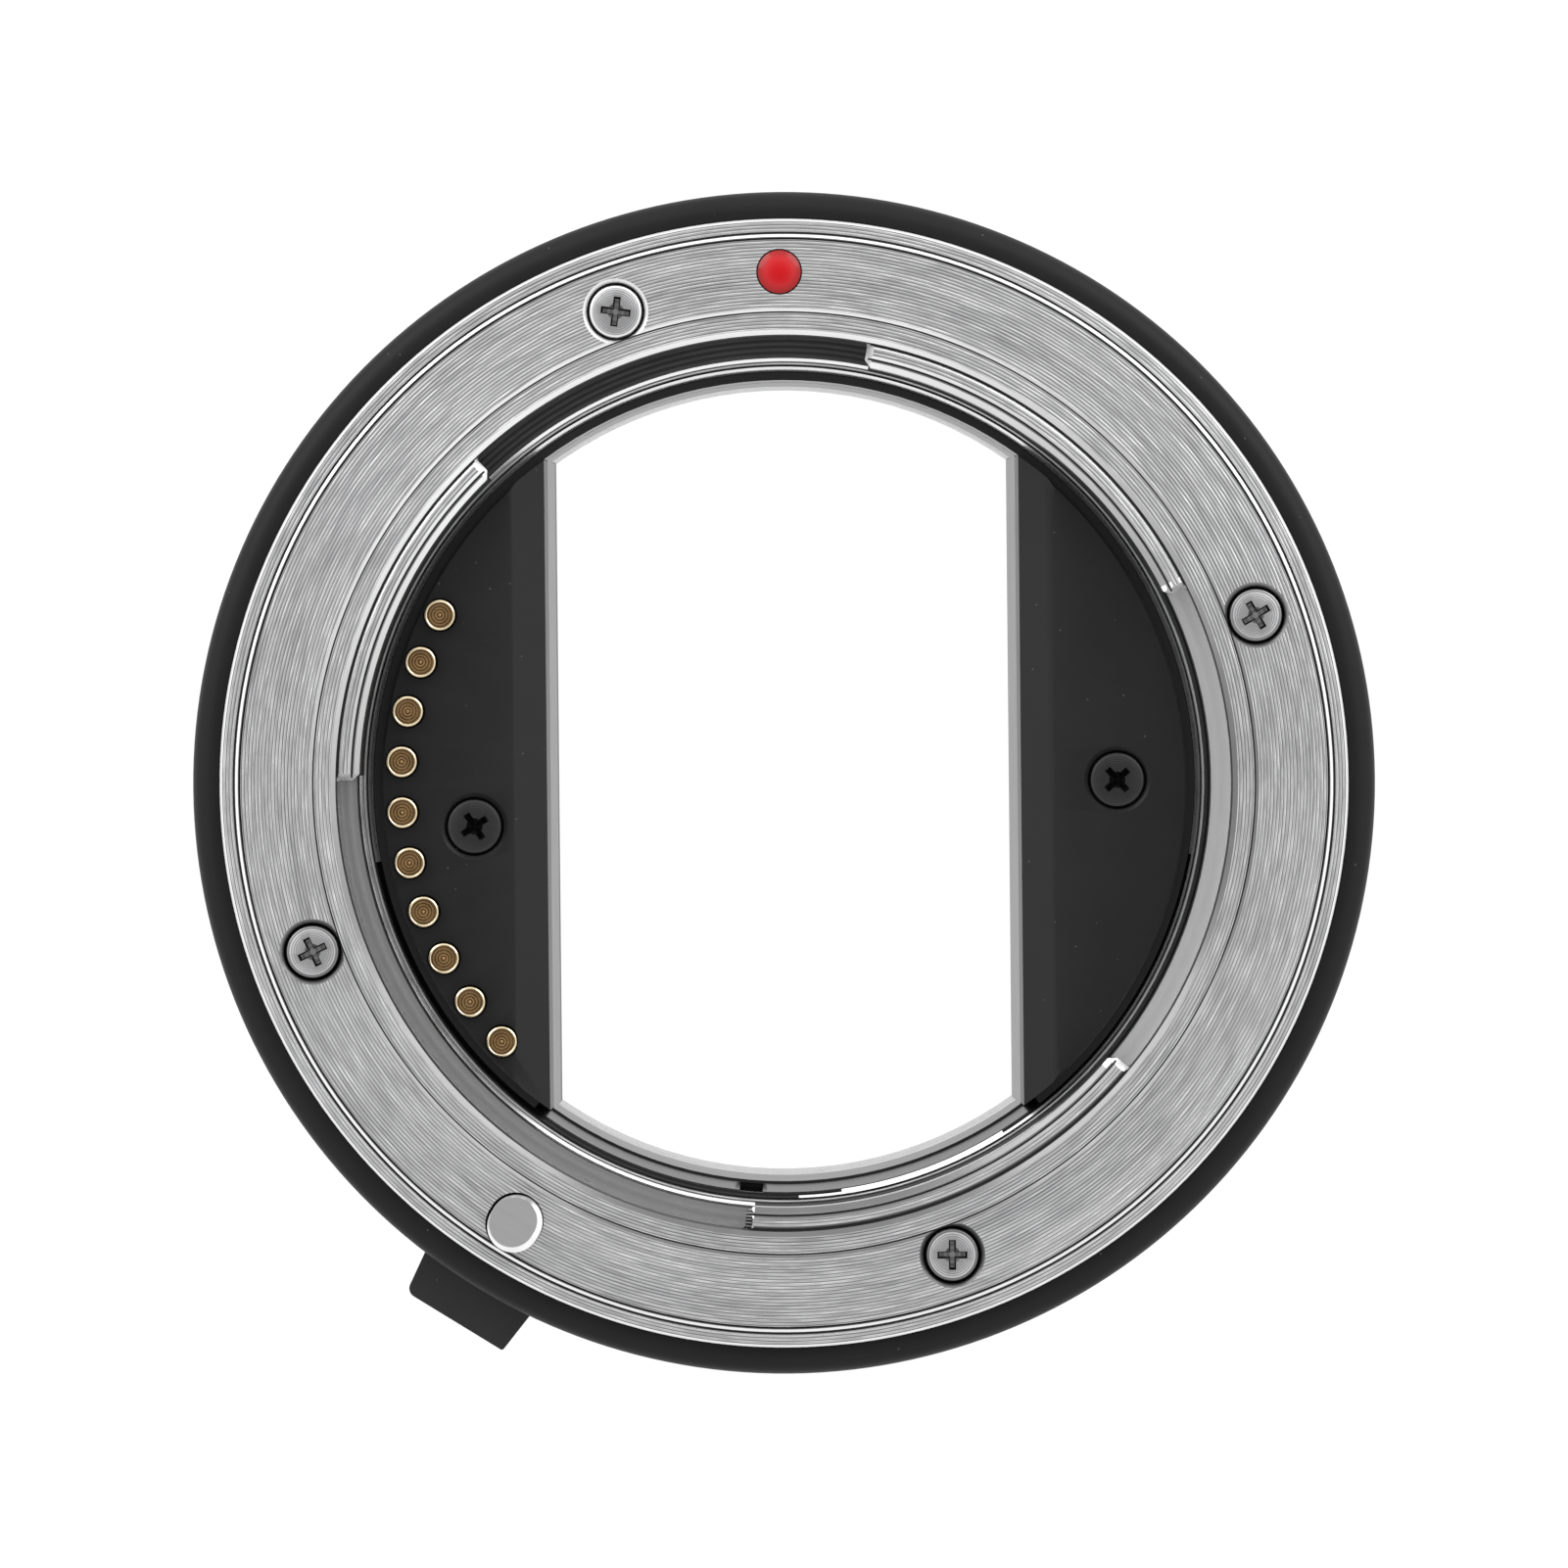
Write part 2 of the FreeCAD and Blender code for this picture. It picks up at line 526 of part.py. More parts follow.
def release_slider():
    """Finger tab outside the barrel, with a shoe inside it and an arm under the lock pin."""
    half_root = TAB_ROOT_WIDTH / 2.0
    half_end = TAB_END_WIDTH / 2.0
    neck_in = POCKET_OUT_R + RUN
    outline = [(neck_in, -half_root), (RIM_R, -half_root), (TAB_R, -half_end), (TAB_R, half_end),
               (RIM_R, half_root), (neck_in, half_root)]
    tab = prism(outline, Z_TAB, Z_TAB_TOP)
    for side, rounding in ((-1, TAB_ROUND), (1, TAB_EDGE)):
        corners = upright_edges(tab, math.hypot(TAB_R, half_end))
        tab = tab.makeFillet(rounding, [e for e in corners if side * e.Vertexes[0].Point.y > 0])
    for k in range(TAB_RIB_COUNT):
        z = Z_TAB + TAB_H * (k + 1) / (TAB_RIB_COUNT + 1)
        groove = [V(TAB_R - TAB_RIB_CUT, -RIM_R, z), V(TAB_R + TAB_RIB_CUT, -RIM_R, z - 2 * TAB_RIB_CUT),
                  V(TAB_R + TAB_RIB_CUT, -RIM_R, z + 2 * TAB_RIB_CUT)]
        tab = tab.cut(Part.Face(Part.makePolygon(groove + groove[:1])).extrude(V(0, 2 * RIM_R, 0)))
    shoe_r = POCKET_OUT_R - SLIDER_PLAY
    shoe_in = shoe_r - SHOE_T
    neck = Part.makeBox(neck_in + SHOE_T - shoe_in, TAB_ROOT_WIDTH, Z_ARM - Z_TAB,
                        V(shoe_in, -half_root, Z_TAB))
    shoe = sector(shoe_in, shoe_r, Z_SHOE, Z_ARM, -SHOE_HALF_ANGLE, SHOE_HALF_ANGLE)
    arm = Part.makeBox(shoe_r - SHOE_T / 2.0 - ARM_IN_R, ARM_WIDTH, ARM_T,
                       V(ARM_IN_R, -ARM_WIDTH / 2.0, Z_ARM - ARM_T))
    peg = disc(SPRING_PEG_R, Z_ARM - ARM_T - SPRING_PEG_H, Z_ARM - ARM_T, (LOCK_SPRING_ORBIT_R, 0))
    solid = tab.multiFuse([neck, shoe, arm, peg]).removeSplitter()
    solid.rotate(V(0, 0, 0), AXIS, LOCK_ANGLE)
    return solid


def lock_pin():
    """Steel pin: a round stem in the barrel's web and a round-ended head proud of the flange."""
    top = Z_FRONT + LOCK_PROUD
    head = obround(LOCK_HEAD_LENGTH, LOCK_HEAD_WIDTH, top - LOCK_HEAD_H, top, LOCK_ORBIT_R, LOCK_ANGLE)
    crown = [edge for edge in head.Edges if all(abs(v.Point.z - top) < 0.001 for v in edge.Vertexes)]
    head = head.makeChamfer(SCREW_CHAMFER, crown)
    place = at(LOCK_ORBIT_R, LOCK_ANGLE)
    stem = disc(LOCK_STEM_R, Z_ARM, top - LOCK_HEAD_H, (place.x, place.y))
    return head.fuse(stem).removeSplitter()


def lock_spring():
    """Coil spring that pushes the slider's arm up from the camera mount ring."""
    return coil(LOCK_COIL_R, LOCK_COIL_WIRE, LOCK_COIL_TURNS, Z_RING_TOP, Z_ARM - ARM_T,
                at(LOCK_SPRING_ORBIT_R, LOCK_ANGLE))


def camera_mount_ring():
    """Turned male bayonet: flange, spigot and three lugs, with a blind hole for the camera's own lock pin."""
    profile = [
        (THROAT_R, EDGE_CHAMFER), (THROAT_R + EDGE_CHAMFER, 0), (SPIGOT_R - EDGE_CHAMFER, 0),
        (SPIGOT_R, EDGE_CHAMFER), (SPIGOT_R, Z_REAR), (CAMERA_FLANGE_R - EDGE_CHAMFER, Z_REAR),
        (CAMERA_FLANGE_R, Z_REAR + EDGE_CHAMFER), (CAMERA_FLANGE_R, Z_RING_TOP), (THROAT_R, Z_RING_TOP)]
    ring = turned(profile)
    lugs = []
    high = Z_REAR - MALE_LUG_DROP
    low = high - MALE_LUG_T
    lug_profile = [(THROAT_R + EDGE_CHAMFER, low), (MALE_LUG_R - EDGE_CHAMFER, low),
                   (MALE_LUG_R, low + EDGE_CHAMFER), (MALE_LUG_R, high), (THROAT_R + EDGE_CHAMFER, high)]
    for start, end in SLOT_ANGLES:
        sweep = end - start - 2 * MALE_LUG_END_ANGLE
        lugs.append(turned(lug_profile, sweep, start + MALE_LUG_END_ANGLE - MOUNT_TURN_ANGLE))
    ring = ring.multiFuse(lugs)
    tools = []
    for place in REAR_SCREWS:
        tools.append(countersink((place.x, place.y), MOUNT_HEAD_R, Z_REAR, -1.0))
        tools.append(disc(SHANK_R + FIT, Z_REAR, Z_RING_TOP + EPS, (place.x, place.y)))
    tools.append(obround(LOCK_HOLE_LENGTH, LOCK_HOLE_WIDTH, Z_REAR - EPS, Z_REAR + LOCK_HOLE_DEPTH,
                         LOCK_ORBIT_R, LOCK_ANGLE))
    return ring.cut(tools)


def leaf_spring(start, end):
    """Flat steel leaf on the seat behind a slot, held down by the skirt of the lens mount ring."""
    leaf = sector(LEAF_IN_R, SKIRT_R - RUN, Z_SEAT, Z_SKIRT,
                  start - LEAF_OVERLAP_ANGLE, end + LEAF_OVERLAP_ANGLE)
    return leaf.makeFillet(LEAF_CORNER_R, upright_edges(leaf, LEAF_IN_R))


def throat_ring():
    """Bright turned ring around the mouth of the light path, standing on the liner's shoulder."""
    top = Z_FRONT - THROAT_RING_DROP
    c = THROAT_RING_CHAMFER
    return turned([
        (THROAT_RING_IN_R, Z_SHOULDER), (THROAT_RING_R, Z_SHOULDER), (THROAT_RING_R, top - c),
        (THROAT_RING_R - c, top), (THROAT_RING_IN_R + c, top), (THROAT_RING_IN_R, top - c)])


def throat_liner():
    """Black moulded liner: a tube with a shoulder, and two hollow columns with the light path's flats."""
    groove_top = Z_SHOULDER + PARTING_H
    tube = turned([
        (THROAT_R, Z_RING_TOP), (LINER_R, Z_RING_TOP), (LINER_R, Z_SHOULDER), (NECK_R, Z_SHOULDER),
        (NECK_R, Z_NECK), (THROAT_R, Z_NECK), (THROAT_R, groove_top), (THROAT_R + PARTING_DEPTH, groove_top),
        (THROAT_R + PARTING_DEPTH, Z_SHOULDER), (THROAT_R, Z_SHOULDER)])
    key = Part.makeBox(2 * (NECK_R - THROAT_R) + 2 * EPS, KEY_WIDTH, KEY_DEPTH + EPS,
                       V(THROAT_R - EPS, -KEY_WIDTH / 2.0, Z_NECK - KEY_DEPTH))
    key.rotate(V(0, 0, 0), AXIS, KEY_ANGLE)
    tube = tube.cut(key)
    left = side_segment(-1, PANEL_R, Z_COLUMN, Z_RING_TOP)
    left = left.fuse(side_segment(-1, THROAT_R + PARTING_DEPTH, Z_RING_TOP, Z_SHOULDER))
    left = left.cut(side_segment(-1, POCKET_R, Z_COLUMN - EPS, Z_BOARD, COLUMN_WALL))
    left = left.cut(side_segment(-1, POCKET_R, Z_BOARD - EPS, Z_SHOULDER + EPS, COLUMN_WALL))
    left = left.cut(board_outline(RUN, Z_BOARD, Z_SHOULDER + EPS))
    boss_x, boss_y = LEFT_PANEL_SCREW
    rib_length = -APERTURE_FRONT - COLUMN_WALL / 2.0 - boss_x
    rib = Part.makeBox(rib_length, RIB_T, Z_SHOULDER - Z_COLUMN,
                       V(boss_x, boss_y - RIB_T / 2.0, Z_COLUMN))
    bosses = [disc(BOSS_R, Z_COLUMN, Z_SHOULDER, LEFT_PANEL_SCREW), rib]
    for place in REAR_BLOCK_SCREWS:
        bosses.append(disc(BOSS_R, Z_COLUMN, Z_COLUMN + REAR_BOSS_H, place))
    left = left.multiFuse(bosses)
    right = side_segment(1, PANEL_R, Z_REAR_PANEL, Z_RING_TOP)
    right = right.fuse(side_segment(1, THROAT_R + PARTING_DEPTH, Z_RING_TOP, Z_SHOULDER))
    right = right.cut(side_segment(1, POCKET_R, Z_COLUMN, Z_SHOULDER + EPS, COLUMN_WALL))
    right = right.fuse(disc(BOSS_R, Z_COLUMN - EPS, Z_SHOULDER, RIGHT_PANEL_SCREW))
    liner = tube.multiFuse([left, right]).removeSplitter()
    screw_low = Z_PANEL - PANEL_SCREW_LENGTH - EPS
    tools = []
    for place in (LEFT_PANEL_SCREW, RIGHT_PANEL_SCREW):
        tools.append(disc(SHANK_R + FIT, screw_low, Z_SHOULDER + EPS, place))
    for place in REAR_BLOCK_SCREWS:
        tools.append(disc(SHANK_R + FIT, Z_COLUMN - EPS, Z_COLUMN + REAR_BOSS_H - EPS, place))
    return liner.cut(tools)


def bevelled_panel(side):
    """D-shaped block beside the light path, with its front edge sloped down to the flat."""
    panel = side_segment(side, PANEL_R, Z_SHOULDER, Z_PANEL)
    inner = aperture_half(Z_PANEL)
    profile = [V(side * (inner - EPS), -RIM_R, Z_PANEL - BEVEL_DROP * (1 + EPS / BEVEL_WIDTH)),
               V(side * (inner + BEVEL_WIDTH), -RIM_R, Z_PANEL),
               V(side * (inner + BEVEL_WIDTH), -RIM_R, Z_PANEL + EPS),
               V(side * (inner - EPS), -RIM_R, Z_PANEL + EPS)]
    wedge = Part.Face(Part.makePolygon(profile + profile[:1])).extrude(V(0, 2 * RIM_R, 0))
    return panel.cut(wedge)


def front_contact_block():
    """Block that holds the ten sprung pins in stepped bores, with one screw."""
    block = bevelled_panel(-1)
    tools = [countersink(LEFT_PANEL_SCREW, PANEL_HEAD_R, Z_PANEL),
             disc(SHANK_R + FIT, Z_SHOULDER - EPS, Z_PANEL, LEFT_PANEL_SCREW)]
    for place in CONTACTS:
        tools.append(disc(PIN_R + RUN, Z_SHOULDER - EPS, Z_PANEL + EPS, (place.x, place.y)))
        tools.append(disc(BORE_R, Z_SHOULDER - EPS, Z_PANEL - CONTACT_SKIN, (place.x, place.y)))
    return block.cut(tools)


def front_baffle():
    """Hollow panel on the other side of the light path, with one screw."""
    panel = bevelled_panel(1)
    hollow = side_segment(1, POCKET_R, Z_SHOULDER - EPS, Z_PANEL - COLUMN_WALL, BEVEL_WIDTH)
    boss = disc(BOSS_R, Z_SHOULDER - EPS, Z_PANEL, RIGHT_PANEL_SCREW)
    tools = [hollow.cut(boss), countersink(RIGHT_PANEL_SCREW, PANEL_HEAD_R, Z_PANEL),
             disc(SHANK_R + FIT, Z_SHOULDER - EPS, Z_PANEL, RIGHT_PANEL_SCREW)]
    return panel.cut(tools)


def contact_pin(place):
    """Gilt plunger with a collar that the block's front wall stops, and a tail inside its spring."""
    tip = Z_PANEL + PIN_PROUD
    collar_top = Z_PANEL - CONTACT_SKIN
    collar_low = collar_top - COLLAR_T
    tail_end = Z_SHOULDER + PIN_TRAVEL + TAIL_PLAY
    pin = turned([
        (0, tip), (PIN_R - PIN_CHAMFER, tip), (PIN_R, tip - PIN_CHAMFER), (PIN_R, collar_top),
        (COLLAR_R, collar_top), (COLLAR_R, collar_low), (TAIL_R, collar_low), (TAIL_R, tail_end),
        (0, tail_end)])
    pin.translate(V(place.x, place.y, 0))
    return pin


def contact_spring(place):
    """Small coil spring between a pin's collar and the contact board."""
    return coil(COIL_R, COIL_WIRE, COIL_TURNS, Z_SHOULDER, Z_PANEL - CONTACT_SKIN - COLLAR_T, place)


def board_outline(margin, z_low, z_high):
    """Ring piece under the contacts, widened by a margin on its round sides."""
    last = CONTACT_FIRST_ANGLE + CONTACT_PITCH_ANGLE * (CONTACT_COUNT - 1)
    past = BOARD_END_ANGLE + math.degrees(margin / BOARD_IN_R)
    start = CONTACT_FIRST_ANGLE - past
    return sector(BOARD_IN_R - margin, BOARD_R + margin, z_low, z_high, start, last + past)


def contact_flex():
    """Flat ribbon that joins the contact board to the rear contact block, folded at both ends."""
    foot = -FLEX_R - FLEX_FOOT
    back = -FLEX_R - FLEX_T
    outline = [(foot, Z_COLUMN), (-FLEX_R, Z_COLUMN), (-FLEX_R, Z_BOARD), (foot, Z_BOARD),
               (foot, Z_BOARD - FLEX_T), (back, Z_BOARD - FLEX_T), (back, Z_COLUMN + FLEX_T),
               (foot, Z_COLUMN + FLEX_T)]
    points = [V(x, -FLEX_WIDTH / 2.0, z) for x, z in outline]
    return Part.Face(Part.makePolygon(points + points[:1])).extrude(V(0, FLEX_WIDTH, 0))


def rear_contact_block():
    """D-shaped block inside the spigot that carries the contact pads."""
    block = side_segment(-1, PANEL_R, Z_REAR_PANEL, Z_COLUMN)
    tools = []
    for place in CONTACTS:
        tools.append(disc(PAD_R + FIT, Z_REAR_PANEL - EPS, Z_REAR_PANEL + PAD_T, (place.x, place.y)))
    for place in REAR_BLOCK_SCREWS:
        tools.append(countersink(place, REAR_HEAD_R, Z_REAR_PANEL, -1.0))
        tools.append(disc(SHANK_R + FIT, Z_REAR_PANEL, Z_COLUMN + EPS, place))
    return block.cut(tools)


def rear_contact_pads():
    """Ten flat gilt pads in the rear face of their block."""
    return Part.makeCompound([disc(PAD_R, Z_REAR_PANEL, Z_REAR_PANEL + PAD_T, (p.x, p.y)) for p in CONTACTS])


keep("lens_mount_ring", lens_mount_ring())
keep("index_dot", index_dot())
keep("barrel", barrel())
keep("camera_mount_ring", camera_mount_ring())
keep("throat_ring", throat_ring())
keep("throat_liner", throat_liner())
keep("mount_leaf_spring_1", leaf_spring(*SLOT_ANGLES[1]))
keep("mount_leaf_spring_2", leaf_spring(*SLOT_ANGLES[2]))
keep("release_slider", release_slider())
keep("lock_pin", lock_pin())
keep("lock_spring", lock_spring())
keep("front_contact_block", front_contact_block())
keep("front_baffle", front_baffle())
keep("contact_board", board_outline(0.0, Z_BOARD, Z_SHOULDER))
keep("contact_flex", contact_flex())
keep("rear_contact_block", rear_contact_block())
keep("rear_contact_pads", rear_contact_pads())
keep("barrel_index_dot", rear_dot_tool(RIM_R - REAR_DOT_DEPTH, RIM_R + REAR_DOT_PROUD, REAR_DOT_R))
keep("contact_block_screw", screw(LEFT_PANEL_SCREW, PANEL_HEAD_R, Z_PANEL, PANEL_SCREW_LENGTH,
                                  PANEL_CROSS_ANGLES[0]))
keep("baffle_screw", screw(RIGHT_PANEL_SCREW, PANEL_HEAD_R, Z_PANEL, PANEL_SCREW_LENGTH,
                           PANEL_CROSS_ANGLES[1]))
for k in range(MOUNT_SCREW_COUNT):
    front = FRONT_SCREWS[k]
    rear = REAR_SCREWS[k]
    turn = MOUNT_CROSS_ANGLES[k]
    keep(f"lens_mount_screw_{k + 1}",
         screw((front.x, front.y), MOUNT_HEAD_R, Z_FRONT, MOUNT_SCREW_LENGTH, turn))
    keep(f"camera_mount_screw_{k + 1}",
         screw((rear.x, rear.y), MOUNT_HEAD_R, Z_REAR, MOUNT_SCREW_LENGTH, -turn, -1.0))
for k, place in enumerate(REAR_BLOCK_SCREWS):
    keep(f"rear_block_screw_{k + 1}",
         screw(place, REAR_HEAD_R, Z_REAR_PANEL, REAR_BLOCK_SCREW_LENGTH, REAR_CROSS_ANGLE, -1.0))
for k, place in enumerate(CONTACTS):
    keep(f"contact_pin_{k + 1}", contact_pin(place))
    keep(f"contact_spring_{k + 1}", contact_spring(place))

for name, shape in kept.items():
    shape.exportStep(f"parts/{name}.step")
    low, high = shape.BoundBox.ZMin, shape.BoundBox.ZMax
    print(f"{name}: {len(shape.Solids)} solid(s), {shape.Volume:.2f} mm3, z {low:.2f} to {high:.2f},",
          "valid" if shape.isValid() else "NOT VALID")
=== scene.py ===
import math

import bmesh
import bpy
from mathutils import Matrix, Vector


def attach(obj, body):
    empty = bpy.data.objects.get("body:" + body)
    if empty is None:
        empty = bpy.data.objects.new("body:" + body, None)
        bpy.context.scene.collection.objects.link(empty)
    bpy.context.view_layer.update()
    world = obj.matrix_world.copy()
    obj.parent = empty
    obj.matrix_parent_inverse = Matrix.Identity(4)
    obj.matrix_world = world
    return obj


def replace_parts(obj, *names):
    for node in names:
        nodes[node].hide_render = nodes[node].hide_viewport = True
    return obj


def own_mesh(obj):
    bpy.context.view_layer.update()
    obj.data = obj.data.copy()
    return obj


# Macro extension tube, looked at from its lens side. Lengths are written in millimetres and turned into
# metres by MM; the optical axis is Z, heights run from the end of the rear spigot towards the lens.
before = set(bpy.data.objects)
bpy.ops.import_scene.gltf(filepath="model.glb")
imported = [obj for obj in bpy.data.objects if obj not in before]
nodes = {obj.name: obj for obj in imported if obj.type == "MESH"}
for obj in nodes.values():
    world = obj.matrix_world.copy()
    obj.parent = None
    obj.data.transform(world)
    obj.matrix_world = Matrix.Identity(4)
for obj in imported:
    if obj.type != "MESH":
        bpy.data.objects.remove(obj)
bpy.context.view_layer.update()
MM = 0.001


# Lens mount ring: the bare metal female bayonet. Its rings and lands are turned on a lathe, then three
# entry slots are milled through the inner lip, so that three lugs stay. Four countersunk screws hold it.
FLANGE_Z = 20.5
CLEAR_Z = 20.52
LAND_Z = 20.38
LINE_Z = 20.2
LIP_Z = 20.12
GROOVE_Z = 19.9
LEDGE_Z = 18.72
SEAT_Z = 18.3
LUG_R = 21.85
BORE_R = 23.06
RING_R = 29.05
SCREW_R = 25.76
SCREW_ANGLES = [19.1, 109.1, 199.1, 289.1]
HEAD_R = 1.36
SHADOW_GAP = 0.13
DOT_RING_R = 26.3
PIN_RING_R = 26.5
PIN_ANGLE = 238.0
ENTRY_SLOTS = [(78.65, 132.95), (-40.05, 25.45), (179.05, 264.45)]
MOUNT_PROFILE = [
    (LUG_R, LEDGE_Z), (LUG_R, 19.9), (21.87, 19.96), (22.13, LIP_Z), (22.2, LIP_Z), (22.22, GROOVE_Z),
    (22.31, GROOVE_Z), (22.32, 20.05), (22.45, LIP_Z), (22.84, LIP_Z), (22.95, 20.06), (22.97, GROOVE_Z),
    (BORE_R, GROOVE_Z), (23.09, 20.18), (23.34, LAND_Z), (24.2, LAND_Z), (24.21, LINE_Z), (24.27, LINE_Z),
    (24.28, LAND_Z), (24.42, FLANGE_Z), (27.96, FLANGE_Z), (27.97, LINE_Z), (28.05, LINE_Z),
    (28.06, FLANGE_Z), (28.1, FLANGE_Z), (28.24, LAND_Z), (28.26, LINE_Z), (28.36, LINE_Z), (28.37, 20.3),
    (28.46, LAND_Z), (28.9, LAND_Z), (29.03, 20.25), (RING_R, LINE_Z), (RING_R, SEAT_Z), (24.3, SEAT_Z),
    (24.3, 16.6), (23.4, 16.6), (23.4, LEDGE_Z)]


def at(radius, angle, z=0.0):
    """Point at a radius and an angle about the optical axis."""
    turn = math.radians(angle)
    return Vector((radius * math.cos(turn), radius * math.sin(turn), z)) * MM


def band(inner, outer, low, high):
    """Profile with four corners, between two radii and two heights."""
    return [(inner, low), (outer, low), (outer, high), (inner, high)]


def turned(profile, steps=240, sweep=360.0, start=0.0):
    """Ring, or part of one, turned about the optical axis from (radius, height) points."""
    bm = bmesh.new()
    points = [bm.verts.new(Vector((r, 0.0, z)) * MM) for r, z in profile]
    loop = [bm.edges.new(pair) for pair in zip(points, points[1:] + points[:1])]
    full = sweep == 360.0
    section = points + loop
    if not full:
        section.append(bm.faces.new(points))
    bmesh.ops.rotate(bm, verts=points, matrix=Matrix.Rotation(math.radians(start), 3, "Z"))
    bmesh.ops.spin(bm, geom=section, axis=(0, 0, 1), angle=math.radians(sweep), steps=steps, use_merge=full)
    bmesh.ops.remove_doubles(bm, verts=bm.verts, dist=1e-7)
    bmesh.ops.recalc_face_normals(bm, faces=bm.faces)
    return bm


def entry_slot(start, end):
    """Tool that mills one entry slot, with round corners at its outer side."""
    wall = BORE_R + 0.005
    low = 18.0
    steps = int((end - start) / 2.2)
    bm = turned(band(20.0, wall, low, 21.0), steps, end - start, start)
    upright = [e for e in bm.edges if abs(e.verts[0].co.z - e.verts[1].co.z) > 2 * MM]
    ends = [at(wall, angle, low).to_2d() for angle in (start, end)]
    corners = [e for e in upright if any((e.verts[0].co.to_2d() - p).length < 0.01 * MM for p in ends)]
    bmesh.ops.bevel(bm, geom=corners, offset=0.22 * MM, offset_type="OFFSET", segments=4, profile=0.5,
                    affect="EDGES", material=-1)
    return bm


def lug_end(angle):
    """Tools that break the top edge and the inner corner of a lug where a slot ends."""
    top_edge = ((1.74, 0.5, 0.5), "X", (22.16, 0, LIP_Z))
    inner_corner = ((0.5, 0.5, 3.0), "Z", (LUG_R, 0, 19.6))
    tools = []
    for size, spin, centre in (top_edge, inner_corner):
        bm = bmesh.new()
        bmesh.ops.create_cube(bm, size=MM)
        bmesh.ops.scale(bm, verts=bm.verts, vec=size)
        bmesh.ops.rotate(bm, verts=bm.verts, matrix=Matrix.Rotation(math.pi / 4, 3, spin))
        bmesh.ops.translate(bm, verts=bm.verts, vec=Vector(centre) * MM)
        bmesh.ops.rotate(bm, verts=bm.verts, matrix=Matrix.Rotation(math.radians(angle), 3, "Z"))
        tools.append(bm)
    return tools


def countersink(head_r, face_z, centre):
    """Tool for a countersunk screw: the hole is a little wider than the head and has a broken edge."""
    wide = head_r + SHADOW_GAP
    shank = 0.85
    profile = [(0.0, 0.5), (wide + 0.7, 0.5), (wide, -0.2), (wide, -0.38), (shank, -1.0), (shank, -2.6),
               (0.0, -2.6)]
    bm = turned(profile, 64)
    bmesh.ops.translate(bm, verts=bm.verts, vec=centre + Vector((0, 0, face_z * MM)))
    return bm


def round_bar(length, width, low, high, centre, angle, edge=0.0, lean=(0.0, 0.0)):
    """Upright bar with round ends, lying along an angle; its top may narrow and lie to one side."""
    bm = bmesh.new()
    outline = bmesh.ops.create_circle(bm, cap_ends=True, segments=64, radius=width / 2 * MM)["verts"]
    bmesh.ops.rotate(bm, verts=outline, matrix=Matrix.Rotation(math.radians(360 / 128), 3, "Z"))
    for side in (-1, 1):
        half = [v for v in outline if v.co.x * side > 0]
        bmesh.ops.translate(bm, verts=half, vec=((length - width) / 2 * side * MM, 0, 0))
    lifts = [high - low] if edge == 0 else [high - low - abs(edge), abs(edge)]
    faces = bm.faces[:]
    for step, lift in enumerate(lifts):
        raised = bmesh.ops.extrude_face_region(bm, geom=faces)["geom"]
        verts = [g for g in raised if isinstance(g, bmesh.types.BMVert)]
        bmesh.ops.translate(bm, verts=verts, vec=(0, 0, lift * MM))
        if step == 1:
            bmesh.ops.scale(bm, verts=verts, vec=(1 + 2 * edge / length, 1 + 2 * edge / width, 1))
            bmesh.ops.translate(bm, verts=verts, vec=Vector((*lean, 0)) * MM)
            bmesh.ops.delete(bm, geom=faces, context="FACES_ONLY")
        faces = [g for g in raised if isinstance(g, bmesh.types.BMFace)]
    bmesh.ops.recalc_face_normals(bm, faces=bm.faces)
    bmesh.ops.rotate(bm, verts=bm.verts, matrix=Matrix.Rotation(math.radians(angle), 3, "Z"))
    bmesh.ops.translate(bm, verts=bm.verts, vec=centre + Vector((0, 0, low * MM)))
    return bm


def combined(part, tools, operation="DIFFERENCE"):
    """Cuts each tool out of a mesh, or adds it, in turn."""
    shapes = []
    for bm in [part] + tools:
        shape = bpy.data.objects.new("shape", bpy.data.meshes.new("shape"))
        bm.to_mesh(shape.data)
        bm.free()
        bpy.context.scene.collection.objects.link(shape)
        shapes.append(shape)
    for tool in shapes[1:]:
        step = shapes[0].modifiers.new("step", "BOOLEAN")
        step.operation = operation
        step.solver = "EXACT"
        step.object = tool
    result = bmesh.new()
    result.from_object(shapes[0], bpy.context.evaluated_depsgraph_get())
    for shape in shapes:
        bpy.data.meshes.remove(shape.data)
    return result


def finished(name, bm, material, body, sharp=28.0, extra=()):
    """Object from a mesh: smooth but for its sharp edges, with its finishes, riding on its body."""
    mesh = bpy.data.meshes.new(name)
    bm.to_mesh(mesh)
    bm.free()
    mesh.shade_smooth()
    mesh.set_sharp_from_angle(angle=math.radians(sharp))
    for finish in (material, *extra):
        mesh.materials.append(finish)
    piece = bpy.data.objects.new(name, mesh)
    bpy.context.scene.collection.objects.link(piece)
    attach(piece, body)
    return piece


def own_finish(piece, material, wanted):
    """Gives the faces that a test picks their own finish; it gets radius, height, tilt and angle."""
    piece.data.materials.append(material)
    for face in piece.data.polygons:
        middle = face.center / MM
        angle = math.degrees(math.atan2(middle.y, middle.x)) % 360
        if wanted(middle.to_2d().length, middle.z, face.normal.z, angle):
            face.material_index = len(piece.data.materials) - 1


